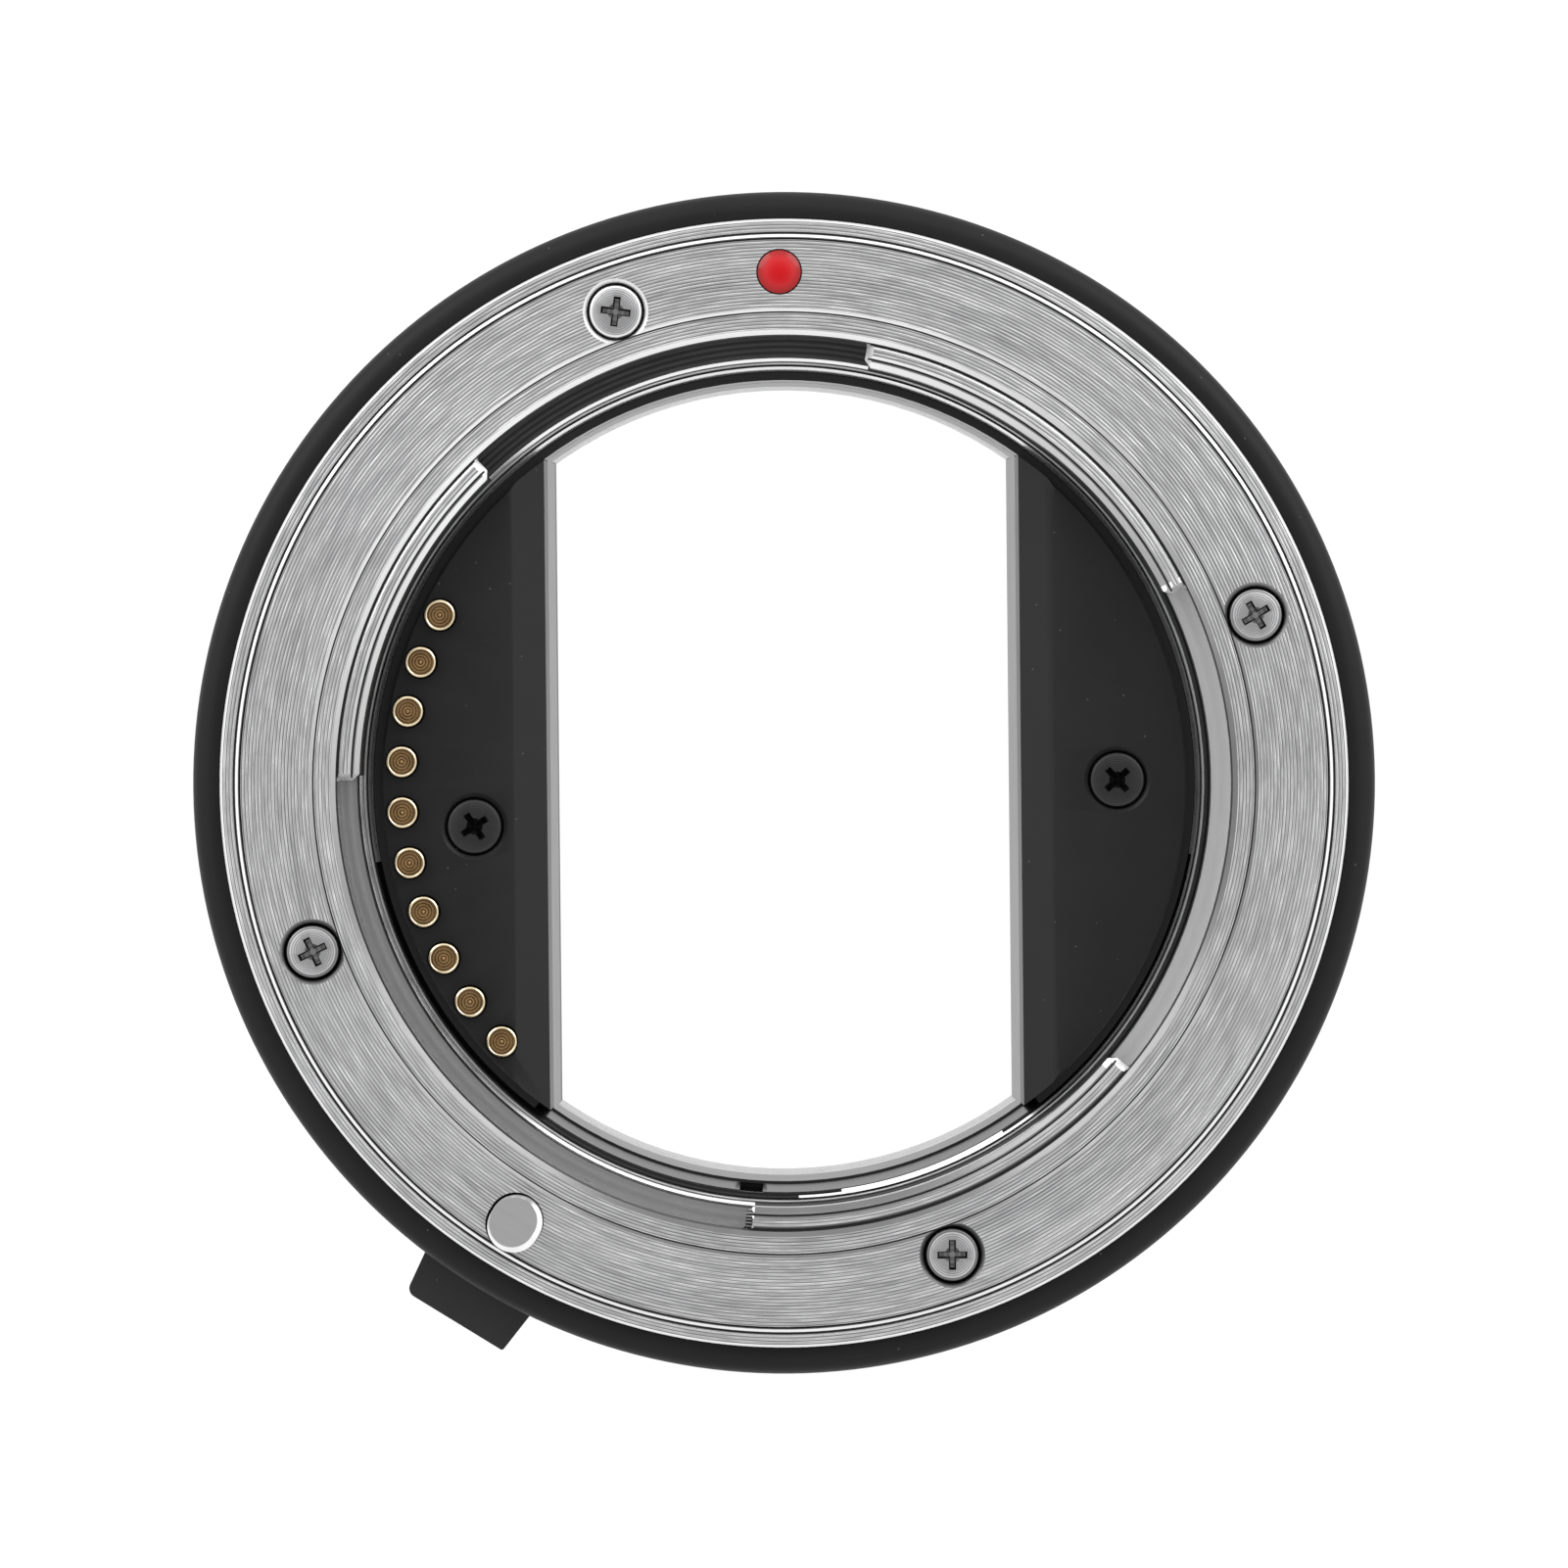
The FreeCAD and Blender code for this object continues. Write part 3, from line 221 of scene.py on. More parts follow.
def node(tree, kind, settings=None, **inputs):
    """Adds a node to a tree, sets it up, and fills or links its inputs by name or number."""
    made = tree.nodes.new("ShaderNode" + kind)
    for key, value in (settings or {}).items():
        setattr(made, key, value)
    for key, value in inputs.items():
        numbered = key[0] == "_" and key[1:].isdigit()
        socket = made.inputs[int(key[1:]) if numbered else key.replace("_", " ")]
        if isinstance(value, bpy.types.NodeSocket):
            tree.links.new(value, socket)
        else:
            socket.default_value = value
    return made


def math_node(tree, operation, *values):
    """Adds one Math node and returns its result."""
    inputs = {f"_{number}": value for number, value in enumerate(values)}
    return node(tree, "Math", {"operation": operation}, **inputs).outputs[0]


def mixed(tree, factor, dark, light):
    """Adds a mix of two colours and returns it; the first colour may come from another node."""
    dark = dark if isinstance(dark, bpy.types.NodeSocket) else (*dark, 1.0)
    return node(tree, "Mix", {"data_type": "RGBA"}, Factor=factor, _6=dark, _7=(*light, 1.0)).outputs[2]


def effect(name, inputs, outputs):
    """Empty shader node group with named inputs and outputs."""
    group = bpy.data.node_groups.new(name, "ShaderNodeTree")
    for label, kind, value in inputs:
        socket = group.interface.new_socket(label, in_out="INPUT", socket_type=kind)
        if value is not None:
            socket.default_value = value
    for label in outputs:
        group.interface.new_socket(label, in_out="OUTPUT", socket_type="NodeSocketFloat")
    return group, group.nodes.new("NodeGroupInput"), group.nodes.new("NodeGroupOutput")


def turning_marks():
    """Fine rings that a lathe tool leaves about the origin of its vector, uneven along each turn."""
    group, given, out = effect(
        "turning marks",
        [("Vector", "NodeSocketVector", None), ("Pitch", "NodeSocketFloat", 0.15),
         ("Seed", "NodeSocketFloat", 0.0)],
        ["Height", "Shade"])
    place = given.outputs["Vector"]
    flat = node(group, "VectorMath", {"operation": "MULTIPLY"}, _0=place, _1=(1.0, 1.0, 0.0)).outputs[0]
    radius = node(group, "VectorMath", {"operation": "LENGTH"}, _0=flat).outputs["Value"]
    facing = node(group, "VectorMath", {"operation": "NORMALIZE"}, _0=flat).outputs[0]
    parts = node(group, "SeparateXYZ", _0=facing)
    high = node(group, "SeparateXYZ", _0=place).outputs["Z"]
    feed = math_node(group, "DIVIDE", math_node(group, "ADD", radius, high), given.outputs["Pitch"])
    wave = math_node(group, "SINE", math_node(group, "MULTIPLY", feed, 2 * math.pi))
    around = 12.0
    streak_at = node(group, "CombineXYZ", X=math_node(group, "MULTIPLY", parts.outputs["X"], around),
                     Y=math_node(group, "MULTIPLY", parts.outputs["Y"], around),
                     Z=math_node(group, "ADD", feed, given.outputs["Seed"])).outputs[0]
    streaks = node(group, "TexNoise", Vector=streak_at, Scale=1.0, Detail=3.0, Roughness=0.6).outputs["Fac"]
    band_at = node(group, "CombineXYZ", X=parts.outputs["X"], Y=parts.outputs["Y"],
                   Z=math_node(group, "MULTIPLY", feed, 0.16)).outputs[0]
    bands = node(group, "TexNoise", Vector=band_at, Scale=1.0, Detail=2.0).outputs["Fac"]
    uneven = math_node(group, "SUBTRACT", streaks, 0.5)
    ripple = math_node(group, "MULTIPLY", wave, math_node(group, "MULTIPLY_ADD", streaks, 0.7, 0.25))
    height = math_node(group, "MULTIPLY_ADD", uneven, 0.9, ripple)
    shade = math_node(group, "ADD", math_node(group, "MULTIPLY_ADD", height, 0.6, 0.5),
                      math_node(group, "MULTIPLY_ADD", bands, 0.5, -0.25))
    shade = math_node(group, "MINIMUM", math_node(group, "MAXIMUM", shade, 0.0), 1.0)
    group.links.new(height, out.inputs["Height"])
    group.links.new(shade, out.inputs["Shade"])
    return group


def grey(value):
    """Colour without a hue."""
    return (value, value, value)


def plain(name, colour, metallic, roughness, specular=0.5):
    """Material with one Principled shader and the numbers that hold all over."""
    material = bpy.data.materials.new(name)
    material.use_nodes = True
    shader = material.node_tree.nodes["Principled BSDF"]
    shader.inputs["Base Color"].default_value = (*colour, 1.0)
    shader.inputs["Metallic"].default_value = metallic
    shader.inputs["Roughness"].default_value = roughness
    shader.inputs["Specular IOR Level"].default_value = specular
    return material, shader


def object_place(material):
    """Object coordinates in millimetres."""
    tree = material.node_tree
    coordinates = node(tree, "TexCoord").outputs["Object"]
    return node(tree, "VectorMath", {"operation": "SCALE"}, _0=coordinates, Scale=1000.0).outputs[0]


def own_place(material):
    """Flat coordinates in millimetres about the piece's own axis, from its map."""
    return node(material.node_tree, "UVMap", {"uv_map": "own axis"}).outputs[0]


def two_toned(name, dark, light, rough, metallic, specular):
    """Material that gets two colours and two roughnesses; it starts with their means."""
    colour = [(a + b) / 2 for a, b in zip(dark, light)]
    return plain(name, colour, metallic, sum(rough) / 2, specular)


def surfaced(tree, shader, colour, shade, rough, heights, depth):
    """Links a colour, a roughness that follows the shade, and a bump of some millimetres."""
    tree.links.new(colour, shader.inputs["Base Color"])
    spread = node(tree, "MapRange", _0=shade, _3=rough[0], _4=rough[1])
    tree.links.new(spread.outputs[0], shader.inputs["Roughness"])
    bump = node(tree, "Bump", Height=heights, Strength=1.0, Distance=depth * MM)
    tree.links.new(bump.outputs[0], shader.inputs["Normal"])


def turned_finish(name, dark, light, rough, pitch, depth, metallic=1.0, specular=0.5, seed=0.0,
                  place=object_place):
    """Metal with the rings of turning: two colours, the roughness of each, and a bump."""
    material, shader = two_toned(name, dark, light, rough, metallic, specular)
    tree = material.node_tree
    rings = node(tree, "Group", {"node_tree": TURNING_MARKS}, Vector=place(material), Pitch=pitch,
                 Seed=seed)
    shade = rings.outputs["Shade"]
    surfaced(tree, shader, mixed(tree, shade, dark, light), shade, rough, rings.outputs["Height"], depth)
    return material


def cut_slope(radius, height, tilt, angle):
    """Whether a face slopes as a chamfer does."""
    return 0.3 < tilt < 0.93


def bright_slope(radius, height, tilt, angle):
    """Whether a face gets the painted highlight: a slope at the flange's outer edge or at the corner of a
    lug.
    """
    ends = [end % 360 for slot in ENTRY_SLOTS for end in slot]
    at_corner = 21.9 < radius < 23.0 and min(abs(angle - end) for end in ends) < 1.3
    return 0.2 < tilt < 0.93 and (radius > 28.0 or at_corner)


def groove_or_hole(radius, height, tilt, angle):
    """Whether a face gets painted shade: the floor of a groove, or the wall of the bore or of a hole."""
    floor = min(abs(height - GROOVE_Z), abs(height - LINE_Z)) < 0.01
    wall = (22.9 < radius < 23.1 or 24.5 < radius < 27.9) and abs(tilt) < 0.3
    return floor or wall


TURNING_MARKS = turning_marks()
MOUNT_METAL = turned_finish("turned mount metal", (0.18, 0.18, 0.19), grey(0.9), (0.4, 0.26),
                            0.17, 0.014)
# Painted highlight: a near white copy of the metal for chamfers that should glint.
PAINTED_HIGHLIGHT_STEEL = turned_finish("bevel with painted highlight", grey(0.9), grey(0.98), (0.34, 0.26), 0.9, 0.002)
# Painted shade: a dark copy of the metal for groove floors and for the walls of the bore and the holes.
PAINTED_SHADE_GROOVE = turned_finish("groove with painted shade", grey(0.02), grey(0.08), (0.6, 0.4), 0.3, 0.002, metallic=0.4)

# Painted light: the chamfers' colour is painted brightest at the upper left and darker towards the lower
# right, as if lit from there, with a little noise in it.
PAINTED_SIDE_LIGHT_EDGE, shader = plain("edge with painted side light", grey(0.9), 1.0, 0.24)
tree = PAINTED_SIDE_LIGHT_EDGE.node_tree
place = object_place(PAINTED_SIDE_LIGHT_EDGE)
wear = node(tree, "TexNoise", Vector=place, Scale=0.5, Detail=3.0).outputs["Fac"]
along = node(tree, "VectorMath", {"operation": "DOT_PRODUCT"}, _0=place, _1=(-0.3, 1.0, 0.0))
side = node(tree, "MapRange", _0=along.outputs["Value"], _1=-6.0, _2=21.0).outputs[0]
side = math_node(tree, "POWER", side, 1.5)
painted_side_light_and_wear = math_node(tree, "MULTIPLY_ADD", wear, 0.12, math_node(tree, "ADD", side, -0.06))
tree.links.new(mixed(tree, painted_side_light_and_wear, grey(0.17), grey(0.9)), shader.inputs["Base Color"])

tools = [entry_slot(start, end) for start, end in ENTRY_SLOTS]
tools += [tool for ends in ENTRY_SLOTS for angle in ends for tool in lug_end(angle)]
tools += [countersink(HEAD_R, FLANGE_Z, at(SCREW_R, angle)) for angle in SCREW_ANGLES]
pin_centre = at(PIN_RING_R, PIN_ANGLE)
tools.append(round_bar(3.13, 2.88, 17.5, CLEAR_Z, pin_centre + at(0.05, 150.0), PIN_ANGLE))
tools.append(round_bar(2.36, 2.36, 19.9, CLEAR_Z, at(DOT_RING_R, 90.0), 0.0))
ring = finished("lens_mount", combined(turned(MOUNT_PROFILE), tools), MOUNT_METAL, "tube")
# The chamfers get the painted side light, the flange's outer edge and the lug corners a painted highlight,
# and the grooves and walls painted shade.
own_finish(ring, PAINTED_SIDE_LIGHT_EDGE, cut_slope)
own_finish(ring, PAINTED_HIGHLIGHT_STEEL, bright_slope)
own_finish(ring, PAINTED_SHADE_GROOVE, groove_or_hole)
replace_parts(ring, "lens_mount_ring")


# Mount screws: stainless countersunk screws with a cross recess, four in each mount ring. The heads are
# turned and lie a hair below the face, with a thin ring of shadow around them: a real gap, with painted
# shade on the hole's wall.
CROSS_TURNS = [30.0, -8.0, 25.0, 0.0]
REAR_SCREW_R = 26.1
REAR_FLANGE_Z = 4.5
HEAD_SINK = 0.06
HEAD_FACE, CROSS_FLOOR, CROSS_WALL, HEAD_SLOPE = range(4)


def cross_tool(length, width, depth):
    """Tool for a cross recess: two tapered arms and the cone where they meet."""
    arms = []
    for turn in (0, 90):
        bm = bmesh.new()
        bmesh.ops.create_cube(bm, size=1.0)
        foot = [v for v in bm.verts if v.co.z < 0]
        bmesh.ops.scale(bm, verts=foot, vec=(0.78, 0.45, 1.0))
        bmesh.ops.scale(bm, verts=bm.verts, vec=(length * MM, width * MM, 2 * depth * MM))
        bmesh.ops.rotate(bm, verts=bm.verts, matrix=Matrix.Rotation(math.radians(turn), 3, "Z"))
        arms.append(bm)
    cone_r = width * 0.85
    cone = [(0.0, 0.1), (cone_r + 0.1, 0.1), (cone_r, 0.0), (0.12, -depth * 0.9), (0.0, -depth)]
    arms.append(turned(cone, 16))
    return arms


def mapped(bm):
    """Adds a map with the place about the piece's own axis in millimetres."""
    own = bm.loops.layers.uv.new("own axis")
    for face in bm.faces:
        for loop in face.loops:
            loop[own].uv = (loop.vert.co.x / MM, loop.vert.co.y / MM)
    return bm


def screw_head(head_r, length, cross):
    """Countersunk screw standing at the origin, its head's face at height 0, with a map about its axis."""
    profile = [(0.0, 0.0), (head_r - 0.16, 0.0), (head_r - 0.05, -0.05), (head_r, -0.12), (head_r, -0.22),
               (0.8, 0.58 - head_r), (0.8, -length + 0.4), (0.4, -length), (0.0, -length)]
    bm = combined(turned(profile, 64), cross_tool(cross * 1.18, 0.5, 0.5))
    for face in bm.faces:
        middle = face.calc_center_median() / MM
        face.material_index = HEAD_FACE
        if middle.to_2d().length < 0.95 and -0.7 < middle.z < -0.01:
            face.material_index = CROSS_FLOOR if face.normal.z > 0.5 else CROSS_WALL
        elif 0.3 < face.normal.z < 0.96:
            face.material_index = HEAD_SLOPE
    return mapped(bm)


def stood(bm, centre, face_z, turn, flipped=False):
    """Copy of a turned piece, turned about its axis, flipped if it points down, and put in its place."""
    copy = bm.copy()
    bmesh.ops.rotate(copy, verts=copy.verts, matrix=Matrix.Rotation(math.radians(turn), 3, "Z"))
    if flipped:
        bmesh.ops.rotate(copy, verts=copy.verts, matrix=Matrix.Rotation(math.pi, 3, "X"))
    bmesh.ops.translate(copy, verts=copy.verts, vec=centre + Vector((0, 0, face_z * MM)))
    return copy


SCREW_METAL = turned_finish("screw steel", (0.5, 0.5, 0.51), (0.78, 0.78, 0.79), (0.36, 0.24), 0.12, 0.003,
                            seed=3.0, place=own_place)
# Painted shade and shadow in the cross recesses: a darker copy of the steel on the floor, near black on the
# walls; the heads' slopes take the chamfers' painted side light.
PAINTED_SHADE_RECESS_FLOOR = turned_finish("recess floor with painted shade", grey(0.22), grey(0.48), (0.4, 0.3), 0.3, 0.002,
                             metallic=0.9, place=own_place)
PAINTED_SHADOW_RECESS = turned_finish("shadowed recess", grey(0.003), grey(0.006), (0.7, 0.5), 0.3, 0.002,
                            metallic=0.0, specular=0.0)
MOUNT_HEAD = (PAINTED_SHADE_RECESS_FLOOR, PAINTED_SHADOW_RECESS, PAINTED_SIDE_LIGHT_EDGE)

mount_screw = screw_head(HEAD_R, 5.0, 1.46)
for number, (angle, turn) in enumerate(zip(SCREW_ANGLES, CROSS_TURNS), 1):
    bm = stood(mount_screw, at(SCREW_R, angle), FLANGE_Z - HEAD_SINK, turn)
    piece = finished(f"front_screw_{number}", bm, SCREW_METAL, "tube", extra=MOUNT_HEAD)
    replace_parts(piece, f"lens_mount_screw_{number}")
    bm = stood(mount_screw, at(REAR_SCREW_R, angle), REAR_FLANGE_Z + HEAD_SINK, turn, flipped=True)
    piece = finished(f"rear_screw_{number}", bm, SCREW_METAL, "tube", extra=MOUNT_HEAD)
    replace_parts(piece, f"camera_mount_screw_{number}")


# Index dots: drops of red enamel, one in the lens flange and one in the barrel's rear rim. Each is set in a
# shallow hole and has hardened to a low dome, and its colour is made darker towards its edge.
BARREL_R = 30.5
REAR_DOT_R = 0.8
REAR_DOT_ANGLE = 37.0
REAR_DOT_Z = 6.05


def enamel_drop(radius, depth, dome):
    """Dot that stands at the origin, its rim at height 0 and its dome above."""
    profile = [(0.0, -depth), (radius, -depth), (radius, 0.0)]
    steps = 8
    ball = (radius ** 2 + dome ** 2) / (2 * dome)
    spread = math.asin(radius / ball)
    for k in range(1, steps + 1):
        lean = spread * (1 - k / steps)
        profile.append((ball * math.sin(lean), ball * math.cos(lean) - ball + dome))
    return mapped(turned(profile, 48))


def laid_outward(bm, radius, angle, z):
    """Turns a standing piece on its side, so that its top points away from the optical axis."""
    bmesh.ops.rotate(bm, verts=bm.verts, matrix=Matrix.Rotation(math.pi / 2, 3, "Y"))
    bmesh.ops.rotate(bm, verts=bm.verts, matrix=Matrix.Rotation(math.radians(angle), 3, "Z"))
    bmesh.ops.translate(bm, verts=bm.verts, vec=at(radius, angle, z))
    return bm


RED_ENAMEL, shader = plain("red enamel", (0.5, 0.008, 0.015), 0.0, 0.26, 0.3)
shader.inputs["Coat Weight"].default_value = 0.2
shader.inputs["Coat Roughness"].default_value = 0.12
tree = RED_ENAMEL.node_tree
pigment = node(tree, "TexNoise", Vector=object_place(RED_ENAMEL), Scale=1.3, Detail=3.0).outputs["Fac"]
from_axis = node(tree, "VectorMath", {"operation": "LENGTH"}, _0=own_place(RED_ENAMEL)).outputs["Value"]
inner = node(tree, "MapRange", _0=from_axis, _1=0.7, _2=1.1, _3=1.0, _4=-0.1).outputs[0]
lighter_inside = math_node(tree, "MULTIPLY_ADD", pigment, 0.4, math_node(tree, "ADD", inner, -0.2))
red = mixed(tree, lighter_inside, (0.3, 0.001, 0.002), (0.5, 0.004, 0.008))
tree.links.new(red, shader.inputs["Base Color"])

drop = stood(enamel_drop(1.11, 0.6, 0.28), at(DOT_RING_R, 90.0), FLANGE_Z, 0.0)
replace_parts(finished("front_dot", drop, RED_ENAMEL, "tube", 50.0), "index_dot")
drop = laid_outward(enamel_drop(REAR_DOT_R, 0.5, 0.08), BARREL_R, REAR_DOT_ANGLE, REAR_DOT_Z)
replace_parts(finished("rear_dot", drop, RED_ENAMEL, "tube", 50.0), "barrel_index_dot")


# Barrel: black anodised aluminium, turned with a raised rim at each end, bead-blasted to a satin face. It
# carries both mount rings, and its side is slotted for the release tab.
BARREL_BORE = 22.08
BARREL_SEAT_Z = 16.3
WAIST_R = 30.1
TAB_WIDTH = 6.4
SCREW_HOLE_R = 0.83


def rounded(radius, centre_r, centre_z, start, end, steps=6):
    """Points of a quarter round for a turned profile."""
    angles = [math.radians(start + (end - start) * k / steps) for k in range(steps + 1)]
    return [(centre_r + radius * math.cos(a), centre_z + radius * math.sin(a)) for a in angles]


def fine_grain():
    """Small even bumps of a blasted or moulded face, with larger, fainter patches and specks of dust."""
    group, given, out = effect(
        "fine grain",
        [("Vector", "NodeSocketVector", None), ("Size", "NodeSocketFloat", 0.1)],
        ["Height", "Patches", "Specks"])
    place = given.outputs["Vector"]
    per_size = math_node(group, "DIVIDE", 1.0, given.outputs["Size"])
    grain = node(group, "TexNoise", Vector=place, Scale=per_size, Detail=2.0)
    patches = node(group, "TexNoise", Vector=place, Scale=0.35, Detail=3.0)
    dust = node(group, "TexVoronoi", Vector=place, Scale=0.9)
    specks = node(group, "MapRange", _0=dust.outputs["Distance"], _1=0.03, _2=0.05, _3=1.0, _4=0.0)
    group.links.new(grain.outputs["Fac"], out.inputs["Height"])
    group.links.new(patches.outputs["Fac"], out.inputs["Patches"])
    group.links.new(specks.outputs[0], out.inputs["Specks"])
    return group


def grained_finish(name, dark, light, rough, size, depth, metallic=0.0, specular=0.5, dust=0.0):
    """Satin face with its grain: two colours in patches, the roughness of each, a bump, and some dust."""
    material, shader = two_toned(name, dark, light, rough, metallic, specular)
    tree = material.node_tree
    grain = node(tree, "Group", {"node_tree": FINE_GRAIN}, Vector=object_place(material), Size=size)
    shade = math_node(tree, "ADD", math_node(tree, "MULTIPLY", grain.outputs["Patches"], 0.6),
                      math_node(tree, "MULTIPLY", grain.outputs["Height"], 0.4))
    specks = math_node(tree, "MULTIPLY", grain.outputs["Specks"], dust)
    dusty = mixed(tree, specks, mixed(tree, shade, dark, light), grey(0.2))
    surfaced(tree, shader, dusty, shade, rough, grain.outputs["Height"], depth)
    return material


def screw_post(radius, low, high, centre):
    """Upright round post or hole."""
    bm = turned(band(0.0, radius, low, high), 48)
    bmesh.ops.translate(bm, verts=bm.verts, vec=centre)
    return bm


def block(x_low, x_high, width, z_low, z_high, angle):
    """Box that lies along an angle about the optical axis, between two distances and two heights."""
    bm = bmesh.new()
    bmesh.ops.create_cube(bm, size=MM)
    bmesh.ops.scale(bm, verts=bm.verts, vec=(x_high - x_low, width, z_high - z_low))
    centre = Vector((x_low + x_high, 0.0, z_low + z_high)) / 2 * MM
    bmesh.ops.translate(bm, verts=bm.verts, vec=centre)
    bmesh.ops.rotate(bm, verts=bm.verts, matrix=Matrix.Rotation(math.radians(angle), 3, "Z"))
    return bm


FINE_GRAIN = fine_grain()
BARREL_BLACK = grained_finish("black anodised barrel", (0.009, 0.009, 0.0095), (0.015, 0.015, 0.0155),
                              (0.4, 0.52), 0.12, 0.006, specular=0.14, dust=0.4)
SEAT_BLACK = turned_finish("turned black seat", grey(0.008), grey(0.085), (0.5, 0.3), 0.3, 0.008,
                           metallic=0.3, seed=4.0)

profile = [(BARREL_BORE, 6.5), (BARREL_BORE, BARREL_SEAT_Z), (24.33, BARREL_SEAT_Z), (24.33, SEAT_Z),
           (29.08, SEAT_Z), (29.08, 19.86), (29.12, 19.9)]
profile += rounded(1.1, 29.4, 18.8, 90.0, 0.0, 10)
profile += [(BARREL_R, 16.65), (30.45, 16.58), (WAIST_R, 16.2), (WAIST_R, 7.6), (30.45, 7.25),
            (BARREL_R, 7.18)]
profile += rounded(0.5, 30.0, 5.4, 0.0, -90.0, 6)
profile += [(28.63, 4.9), (28.63, 6.5), (28.0, 6.5), (28.0, 14.0), (24.2, 14.0), (24.2, 6.5)]
posts = [screw_post(2.1, 6.5, 14.5, at(REAR_SCREW_R, angle)) for angle in SCREW_ANGLES]
tools = [screw_post(SCREW_HOLE_R, 15.0, 18.8, at(SCREW_R, angle)) for angle in SCREW_ANGLES]
tools += [screw_post(SCREW_HOLE_R, 6.0, 11.5, at(REAR_SCREW_R, angle)) for angle in SCREW_ANGLES]
tools.append(screw_post(1.05, 13.5, 18.8, pin_centre))
tools.append(block(27.7, 31.0, TAB_WIDTH + 0.1, 8.9, 15.7, PIN_ANGLE))
dot_hole = screw_post(REAR_DOT_R + 0.03, 0.0, 1.0, Vector((0, 0, 0)))
tools.append(laid_outward(dot_hole, BARREL_R - 0.5, REAR_DOT_ANGLE, REAR_DOT_Z))
shell = combined(combined(turned(profile), posts, "UNION"), tools)
shell = finished("barrel_shell", shell, BARREL_BLACK, "tube")
own_finish(shell, SEAT_BLACK, lambda radius, height, tilt, angle:
           radius < 24.4 and tilt > 0.9 and height > 16.0)
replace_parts(shell, "barrel")


# Leaf springs: two thin flat leaves of rolled steel, clamped on the barrel's seat behind two of the entry
# slots. They press a lens against the flange. The second is duller.
SATIN_LEAF = turned_finish("satin spring steel", grey(0.84), grey(0.97), (0.46, 0.4), 0.6, 0.002)
DULLER_LEAF = turned_finish("duller spring steel", grey(0.5), grey(0.74), (0.36, 0.26), 0.5, 0.003)


def refinished(name, material):
    """CAD node that keeps its shape and gets its real finish."""
    nodes[name].data.materials.clear()
    nodes[name].data.materials.append(material)


refinished("mount_leaf_spring_1", SATIN_LEAF)
refinished("mount_leaf_spring_2", DULLER_LEAF)


# Throat ring: a bright ring, fine turned, that edges the mouth of the light path. It stands on the liner's
# shoulder and is held by the liner's neck. Part of its inner lip lies in shadow.
SHOULDER_Z = 12.5
NECK_R = 21.34
LIP_R = 21.6
OUTER_LIP_R = 21.87
THROAT_METAL = turned_finish("fine turned ring", (0.4, 0.4, 0.41), grey(1.0), (0.36, 0.26), 0.16, 0.012,
                             seed=9.0)
# Painted highlight: a near white copy of the metal for the ring's flat tops, bar the outer lip.
PAINTED_HIGHLIGHT_EDGE = turned_finish("edge with painted highlight", grey(0.96), grey(1.0), (0.34, 0.26), 0.5, 0.001)
RIM_SHADE = turned_finish("shaded rim", grey(0.01), grey(0.04), (0.36, 0.26), 0.3, 0.002)


def shaded_rim(radius, height, tilt, angle):
    """Whether a face of the inner lip lies in shadow: all of it at the lower left, then its inner half."""
    lower_left = radius < LIP_R and 190.0 < angle < 271.0
    inner_half = radius < 21.48 and (190.0 < angle < 277.0 or 301.0 < angle < 350.0)
    return tilt > 0.9 and (lower_left or inner_half)


def dark_rim(radius, height, tilt, angle):
    """Whether a face gets painted shade: a groove's floor, or the outer lip where no entry slot shows it.
    """
    behind_lug = not (78.0 < angle < 133.0 or 179.0 < angle < 265.0)
    return tilt > 0.3 and (height < 15.5 or radius > OUTER_LIP_R and behind_lug)


profile = [(21.45, SHOULDER_Z), (22.05, SHOULDER_Z), (22.05, 15.7), (OUTER_LIP_R, 15.635), (21.86, 15.68),
           (21.7, 15.68), (21.69, 15.4), (21.61, 15.4), (LIP_R, 15.75), (21.48, 15.706), (NECK_R, 15.655),
           (NECK_R, 15.55), (21.45, 15.55)]
mouth = finished("mouth_ring", turned(profile), THROAT_METAL, "tube")
own_finish(mouth, PAINTED_HIGHLIGHT_EDGE, lambda radius, height, tilt, angle:
           tilt > 0.9 and not LIP_R < radius < OUTER_LIP_R)
own_finish(mouth, RIM_SHADE, shaded_rim)
own_finish(mouth, PAINTED_SHADE_GROOVE, dark_rim)
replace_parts(mouth, "throat_ring")


# Throat liner: matt black moulding that makes the light path. Its neck shows as thin rings inside the
# bright ring, wider at the bottom and with a key notch there; its two hollow columns carry the panels.
KEY_ANGLE = 264.85
KEY_WIDTH = 1.2
KEY_Z = 12.8
TRIM_Z = 16.5


def merged(name):
    """Copy of a CAD node's mesh with its loose triangles joined and its flat faces made whole."""
    bm = bmesh.new()
    bm.from_mesh(nodes[name].data)
    bmesh.ops.remove_doubles(bm, verts=bm.verts, dist=1e-6)
    bmesh.ops.dissolve_limit(bm, angle_limit=math.radians(0.3), verts=bm.verts, edges=bm.edges)
    return bm


LINER_BLACK = grained_finish("matt black moulding", grey(0.008), grey(0.015), (0.26, 0.34), 0.09, 0.006)
key_back = turned(band(NECK_R, 21.42, 12.7, 15.9), 8, 5.0, KEY_ANGLE - 2.5)
wider_neck = turned([(20.6, 12.6), (21.02, 12.6), (21.33, 15.9), (21.33, TRIM_Z), (20.6, TRIM_Z)],
                    80, 76.0, 232.0)
key = block(20.6, 21.38, KEY_WIDTH, KEY_Z, TRIM_Z, KEY_ANGLE)
lip_seat = turned(band(21.3, LIP_R, 15.5, TRIM_Z))
liner = combined(combined(merged("throat_liner"), [key_back], "UNION"), [wider_neck, key, lip_seat])
liner = finished("light_path_liner", liner, LINER_BLACK, "tube")
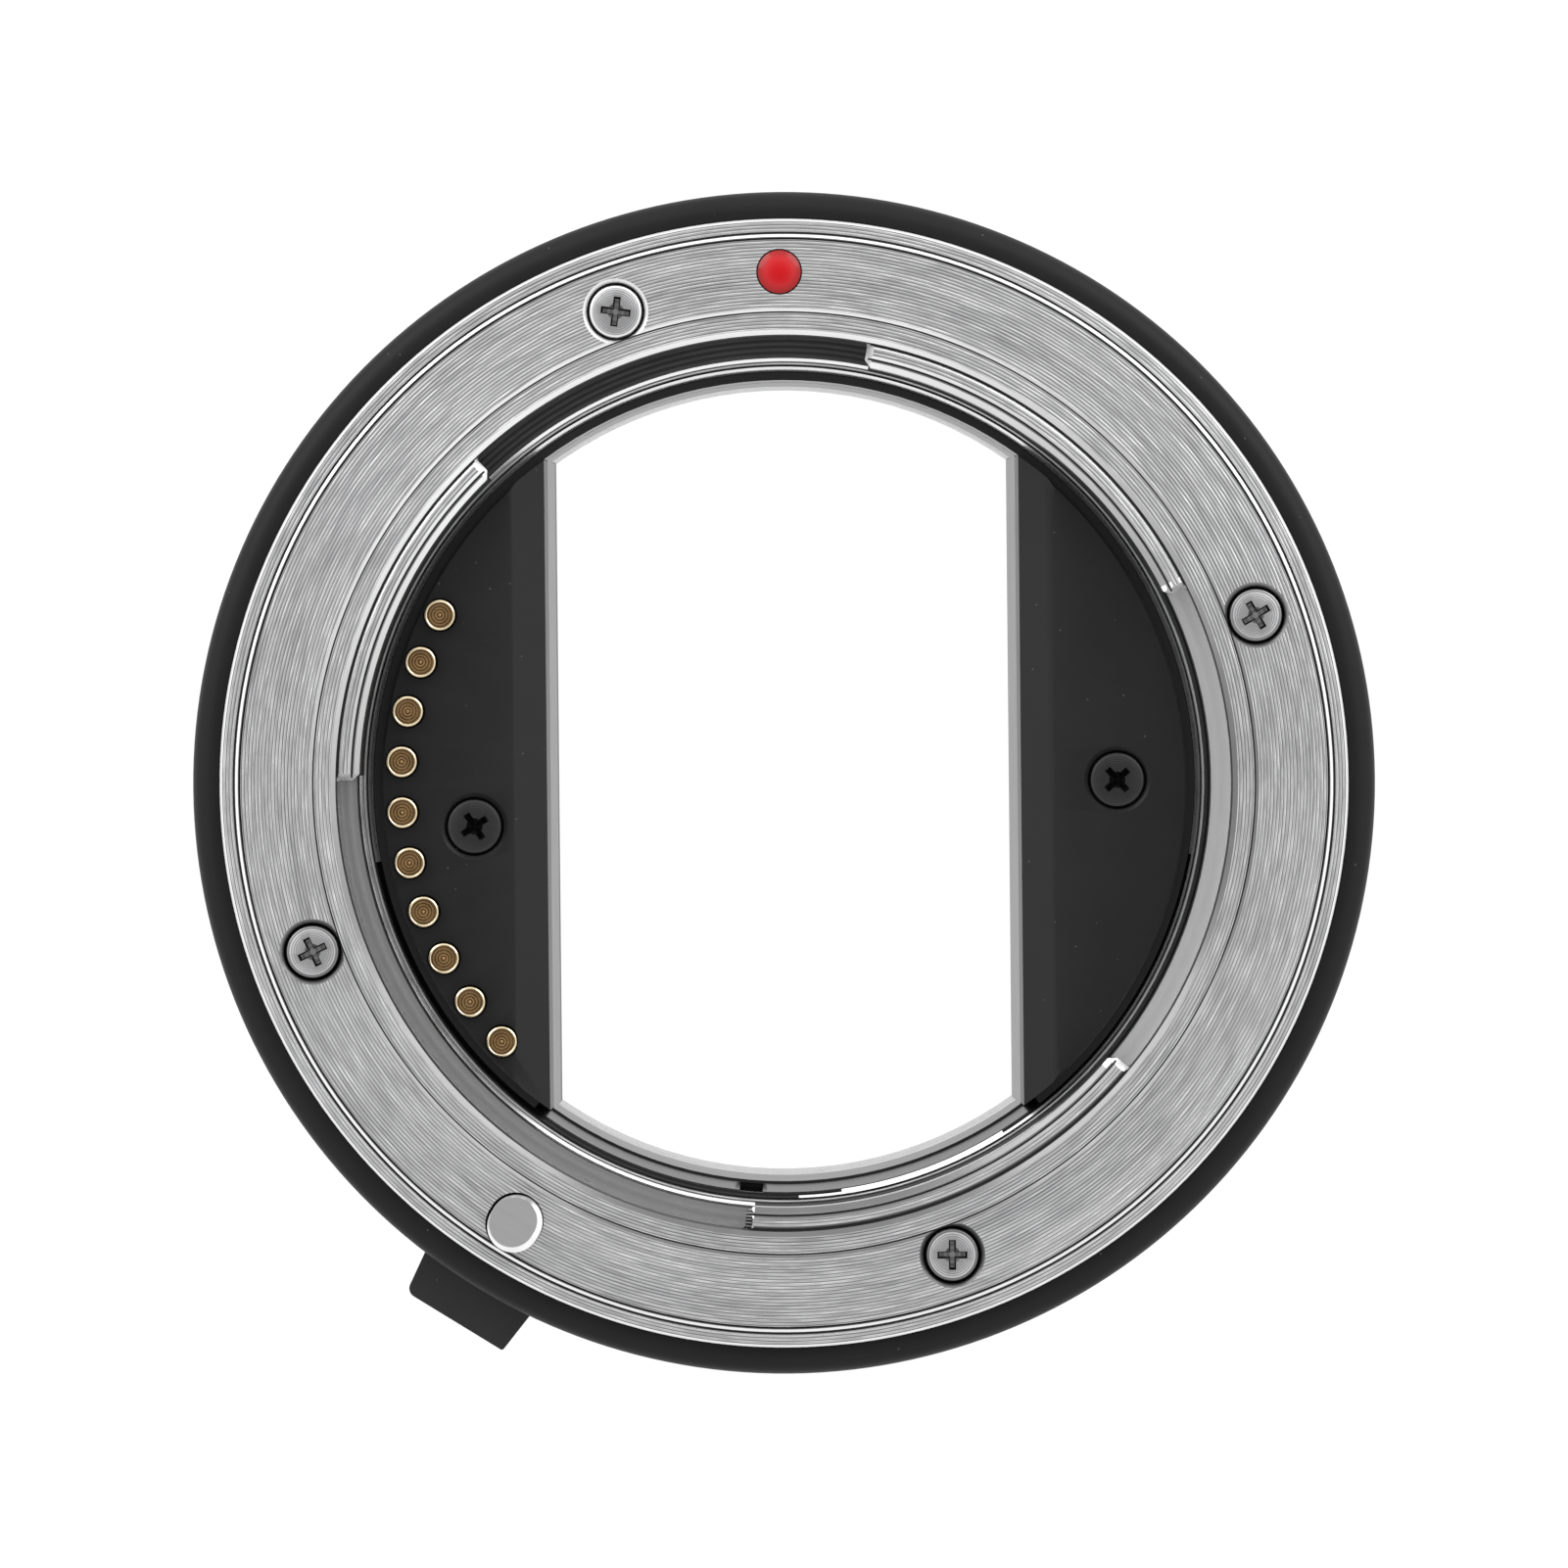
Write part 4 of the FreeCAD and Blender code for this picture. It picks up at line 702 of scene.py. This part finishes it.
# Painted shadow: the key notch's faces get the near black recess finish.
own_finish(liner, PAINTED_SHADOW_RECESS, lambda radius, height, tilt, angle:
           abs(angle - KEY_ANGLE) < 1.63 and 20.85 < radius < 21.42 and height > KEY_Z - 0.05)
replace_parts(liner, "throat_liner")


# Panels: black D-shaped mouldings on both sides of the light path, each with a bevel along its flat and one
# black screw. The left one holds the contacts.
PANEL_Z = 17.5
PANEL_ARC_R = 20.85
PANEL_FLAT_X = 12.3
PANEL_HEAD_R = 1.4
LEFT_SCREW = Vector((-16.05, -2.1, 0)) * MM
RIGHT_SCREW = Vector((17.25, 0.0, 0)) * MM
CONTACT_RING_R = 19.8
CONTACT_ANGLES = [153.45 + 7.61 * k for k in range(10)]


def panel(side):
    """D-shaped block cut from a round bar by the drafted flat and by its bevel."""
    bm = turned([(0.0, SHOULDER_Z), (PANEL_ARC_R - 0.05, SHOULDER_Z), (PANEL_ARC_R, SHOULDER_Z + 0.05),
                 (PANEL_ARC_R, PANEL_Z - 0.12), (PANEL_ARC_R - 0.12, PANEL_Z), (0.0, PANEL_Z)])
    flat = (PANEL_Z, Vector((-15.6 * side, 0, 0.27)))
    bevel = (PANEL_Z - 0.75, Vector((-0.75 * side, 0, 1.75)))
    for z, normal in (flat, bevel):
        cut = bmesh.ops.bisect_plane(bm, geom=bm.verts[:] + bm.edges[:] + bm.faces[:], dist=1e-9,
                                     plane_co=Vector((PANEL_FLAT_X * side, 0, z)) * MM, plane_no=normal,
                                     clear_outer=True)
        rim = [g for g in cut["geom_cut"] if isinstance(g, bmesh.types.BMEdge)]
        bmesh.ops.contextual_create(bm, geom=rim)
    bmesh.ops.recalc_face_normals(bm, faces=bm.faces)
    return bm


def panel_hole(radius, centre):
    """Tool for a stepped contact bore, with a broken edge at the panel's face."""
    bm = turned([(0.0, 17.6), (radius + 0.16, 17.6), (radius, 17.44), (radius, 16.7), (radius + 0.09, 16.7),
                 (radius + 0.09, 12.0), (0.0, 12.0)], 48)
    bmesh.ops.translate(bm, verts=bm.verts, vec=centre)
    return bm


def panel_screw_hole(centre):
    """Tools for a panel screw: its countersink and the hole for its shank."""
    return [countersink(PANEL_HEAD_R, PANEL_Z, centre), screw_post(SCREW_HOLE_R, 12.0, 15.5, centre)]


PANEL_BLACK = grained_finish("satin black panel", (0.007, 0.007, 0.0075), (0.011, 0.011, 0.012),
                             (0.36, 0.44), 0.14, 0.003, specular=0.3, dust=0.3)
tools = [panel_hole(0.825, at(CONTACT_RING_R, angle)) for angle in CONTACT_ANGLES]
bm = combined(panel(-1), tools + panel_screw_hole(LEFT_SCREW))
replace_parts(finished("contact_panel", bm, PANEL_BLACK, "tube"), "front_contact_block")
bm = combined(panel(1), panel_screw_hole(RIGHT_SCREW))
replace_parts(finished("baffle_panel", bm, PANEL_BLACK, "tube"), "front_baffle")


# Panel screws: blackened steel, with a slightly glossy head; the cross recess has painted glints on its
# walls and painted shadow on its floor.
SCREW_BLACK = turned_finish("blackened steel", grey(0.02), grey(0.05), (0.38, 0.26), 0.12, 0.002,
                            metallic=0.6, seed=5.0, place=own_place)
# Painted glints: a bright copy of the metal on the cross's walls.
PAINTED_GLINT_RECESS = turned_finish("recess with painted glints", grey(0.1), grey(0.9), (0.3, 0.14), 0.3, 0.006, place=own_place)
PANEL_HEAD = (PAINTED_SHADOW_RECESS, PAINTED_GLINT_RECESS, SCREW_BLACK)
panel_screw = screw_head(PANEL_HEAD_R, 8.4, 1.46)
for name, centre, turn, cad in (("contact_panel_screw", LEFT_SCREW, 33.0, "contact_block_screw"),
                                ("baffle_panel_screw", RIGHT_SCREW, 42.0, "baffle_screw")):
    bm = stood(panel_screw, centre, PANEL_Z - HEAD_SINK, turn)
    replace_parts(finished(name, bm, SCREW_BLACK, "tube", extra=PANEL_HEAD), cad)


# Contact pins: ten gilt brass plungers, turned, with a bright chamfer around a duller end face. Each rests
# on its own coil spring, and a collar stops it behind the panel's front wall.
PIN_TOP_Z = PANEL_Z + 0.7
PIN_PROFILE = [(0.0, -0.02), (0.045, -0.03), (0.07, -0.045), (0.67, -0.03), (0.69, -0.012), (0.71, 0.0),
               (0.775, -0.04), (0.775, -1.5), (0.86, -1.5), (0.86, -1.9), (0.3, -1.9), (0.3, -4.2),
               (0.0, -4.2)]
GOLD = turned_finish("gilt brass", (0.05, 0.025, 0.01), (0.44, 0.275, 0.125), (0.38, 0.24), 0.16, 0.008,
                     seed=2.0, place=own_place)
RIM_GOLD = turned_finish("gilt chamfer", (0.7, 0.58, 0.38), (0.86, 0.76, 0.56), (0.24, 0.16), 0.2, 0.001,
                         place=own_place)
pin = mapped(turned(PIN_PROFILE, 48))
for number, angle in enumerate(CONTACT_ANGLES, 1):
    axis = at(CONTACT_RING_R, angle)
    bm = stood(pin, axis, PIN_TOP_Z, number * 137.0)
    piece = finished(f"pin_{number}", bm, GOLD, f"pin_{number}", extra=(RIM_GOLD,))
    for face in piece.data.polygons:
        out = (face.center.to_2d() - axis.to_2d()).length / MM
        if 0.675 < out < 0.78 and face.center.z > (PIN_TOP_Z - 0.15) * MM:
            face.material_index = 1
    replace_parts(piece, f"contact_pin_{number}")


def pressed_spring(name):
    """Coil spring on its seat in the tube, with a mesh of its own."""
    coil = finished(name + "_coil", merged(name), SPRING_STEEL, "tube")
    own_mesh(coil)
    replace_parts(coil, name)


SPRING_STEEL = turned_finish("spring wire", grey(0.5), grey(0.65), (0.36, 0.26), 0.3, 0.002)
for number in range(1, 11):
    pressed_spring(f"contact_spring_{number}")
pressed_spring("lock_spring")
BOARD_GREEN = grained_finish("green solder mask", (0.015, 0.09, 0.03), (0.03, 0.14, 0.05), (0.34, 0.48),
                             0.2, 0.004)
refinished("contact_board", BOARD_GREEN)
RIBBON_AMBER = grained_finish("amber film", (0.35, 0.13, 0.02), (0.48, 0.2, 0.05), (0.25, 0.36),
                              0.3, 0.002)
refinished("contact_flex", RIBBON_AMBER)


# Lock pin and release slider: the steel pin drops into a lens's lock hole. Its stem runs in the barrel's
# web and stands on the slider's arm, which the tab outside pushes down against the lock spring.
LOCK_STEEL = turned_finish("ground pin steel", grey(0.5), grey(0.66), (0.46, 0.36), 0.9, 0.004)
head = round_bar(2.95, 2.7, 20.0, 21.7, pin_centre, PIN_ANGLE, -0.17, (-0.05, -0.12))
stem = screw_post(1.0, 13.9, 20.1, pin_centre)
bolt = finished("lock_bolt", combined(head, [stem], "UNION"), LOCK_STEEL, "release")
# The lock pin's chamfers get the painted highlight.
own_finish(bolt, PAINTED_HIGHLIGHT_STEEL, cut_slope)
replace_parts(bolt, "lock_pin")

SLIDER_BLACK = grained_finish("black slider moulding", grey(0.01), grey(0.017), (0.42, 0.54), 0.12, 0.008,
                              dust=0.4)
slider = finished("release_tab", merged("release_slider"), SLIDER_BLACK, "release")
rounding = slider.modifiers.new("rounded edges", "BEVEL")
rounding.width = 0.12 * MM
rounding.segments = 3
rounding.angle_limit = math.radians(35)
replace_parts(slider, "release_slider")


# Camera mount ring: the male bayonet behind, of the same turned metal, with three lugs on its spigot and a
# blind hole for the camera's lock pin.
camera_ring = finished("camera_mount", merged("camera_mount_ring"), MOUNT_METAL, "tube")
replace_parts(camera_ring, "camera_mount_ring")


# Rear contact block: black moulding inside the spigot with ten flat gilt pads and two black screws.
rear_block = finished("rear_panel", merged("rear_contact_block"), PANEL_BLACK, "tube")
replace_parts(rear_block, "rear_contact_block")
PAD_GOLD = grained_finish("gilt pads", (0.62, 0.44, 0.2), (0.78, 0.58, 0.3), (0.2, 0.3), 0.1, 0.002,
                          metallic=1.0)
refinished("rear_contact_pads", PAD_GOLD)
rear_screw = screw_head(1.15, 4.6, 1.3)
for number, y in ((1, 9.006), (2, -9.006)):
    bm = stood(rear_screw, Vector((-14.7, y, 0)) * MM, 1.96, -20.0, flipped=True)
    piece = finished(f"rear_panel_screw_{number}", bm, SCREW_BLACK, "tube")
    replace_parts(piece, f"rear_block_screw_{number}")


# Setting: the tube stands on its spigot on a white floor, under plain soft light, and the camera looks down
# its axis from the lens side. The floor is matt for diffuse light and a white glow for what looks at it.
bpy.ops.mesh.primitive_plane_add(size=4.0)
floor = bpy.context.object
floor.name = "floor"
white = bpy.data.materials.new("white floor")
white.use_nodes = True
tree = white.node_tree
tree.nodes.clear()
matt = node(tree, "BsdfDiffuse", Color=(0.9, 0.9, 0.9, 1.0)).outputs[0]
glow = node(tree, "Emission", Color=(1.0, 1.0, 1.0, 1.0), Strength=1.06).outputs[0]
rays = node(tree, "LightPath").outputs
seen = math_node(tree, "MAXIMUM", rays["Is Camera Ray"], rays["Is Glossy Ray"])
seen = math_node(tree, "MAXIMUM", seen, rays["Is Transmission Ray"])
blend = node(tree, "MixShader", _0=math_node(tree, "MULTIPLY", seen, 0.95), _1=matt, _2=glow)
node(tree, "OutputMaterial", Surface=blend.outputs[0])
floor.data.materials.append(white)

world = bpy.data.worlds.new("soft studio")
bpy.context.scene.world = world
world.use_nodes = True
tree = world.node_tree
background = tree.nodes["Background"]
background.inputs["Color"].default_value = (1.0, 1.0, 1.0, 1.0)
facing = node(tree, "SeparateXYZ", _0=node(tree, "TexCoord").outputs["Generated"]).outputs
level = node(tree, "MapRange", {"interpolation_type": "SMOOTHSTEP"}, _0=facing["Z"], _1=0.78, _2=0.985,
             _3=1.2, _4=0.3)
side = node(tree, "MapRange", _0=facing["Y"], _1=-1.0, _2=1.0, _3=0.8, _4=1.2)
light = math_node(tree, "MULTIPLY", level.outputs[0], side.outputs[0])
tree.links.new(light, background.inputs["Strength"])

for name, x in (("left lamp", -0.5), ("right lamp", 0.5)):
    lamp = bpy.data.objects.new(name, bpy.data.lights.new(name, "AREA"))
    lamp.data.size = 0.5
    lamp.data.energy = 2.0
    lamp.location = (x, 0.45, 0.35)
    lamp.rotation_euler = (Vector((0, 0, 0.01)) - lamp.location).to_track_quat("-Z", "Y").to_euler()
    bpy.context.scene.collection.objects.link(lamp)

DISTANCE = 450.0
OFF_AXIS = 4.6
camera = bpy.data.objects.new("camera", bpy.data.cameras.new("camera"))
camera.data.sensor_width = 36.0
camera.data.lens = 200.96
camera.data.shift_x = 0.0005
camera.data.shift_y = -0.0003
camera.location = Vector((0.0, OFF_AXIS, FLANGE_Z + DISTANCE)) * MM
camera.rotation_euler = (-math.atan(OFF_AXIS / DISTANCE), 0.0, math.radians(-0.55))
bpy.context.scene.collection.objects.link(camera)
bpy.context.scene.camera = camera
bpy.context.scene.view_settings.view_transform = "Standard"
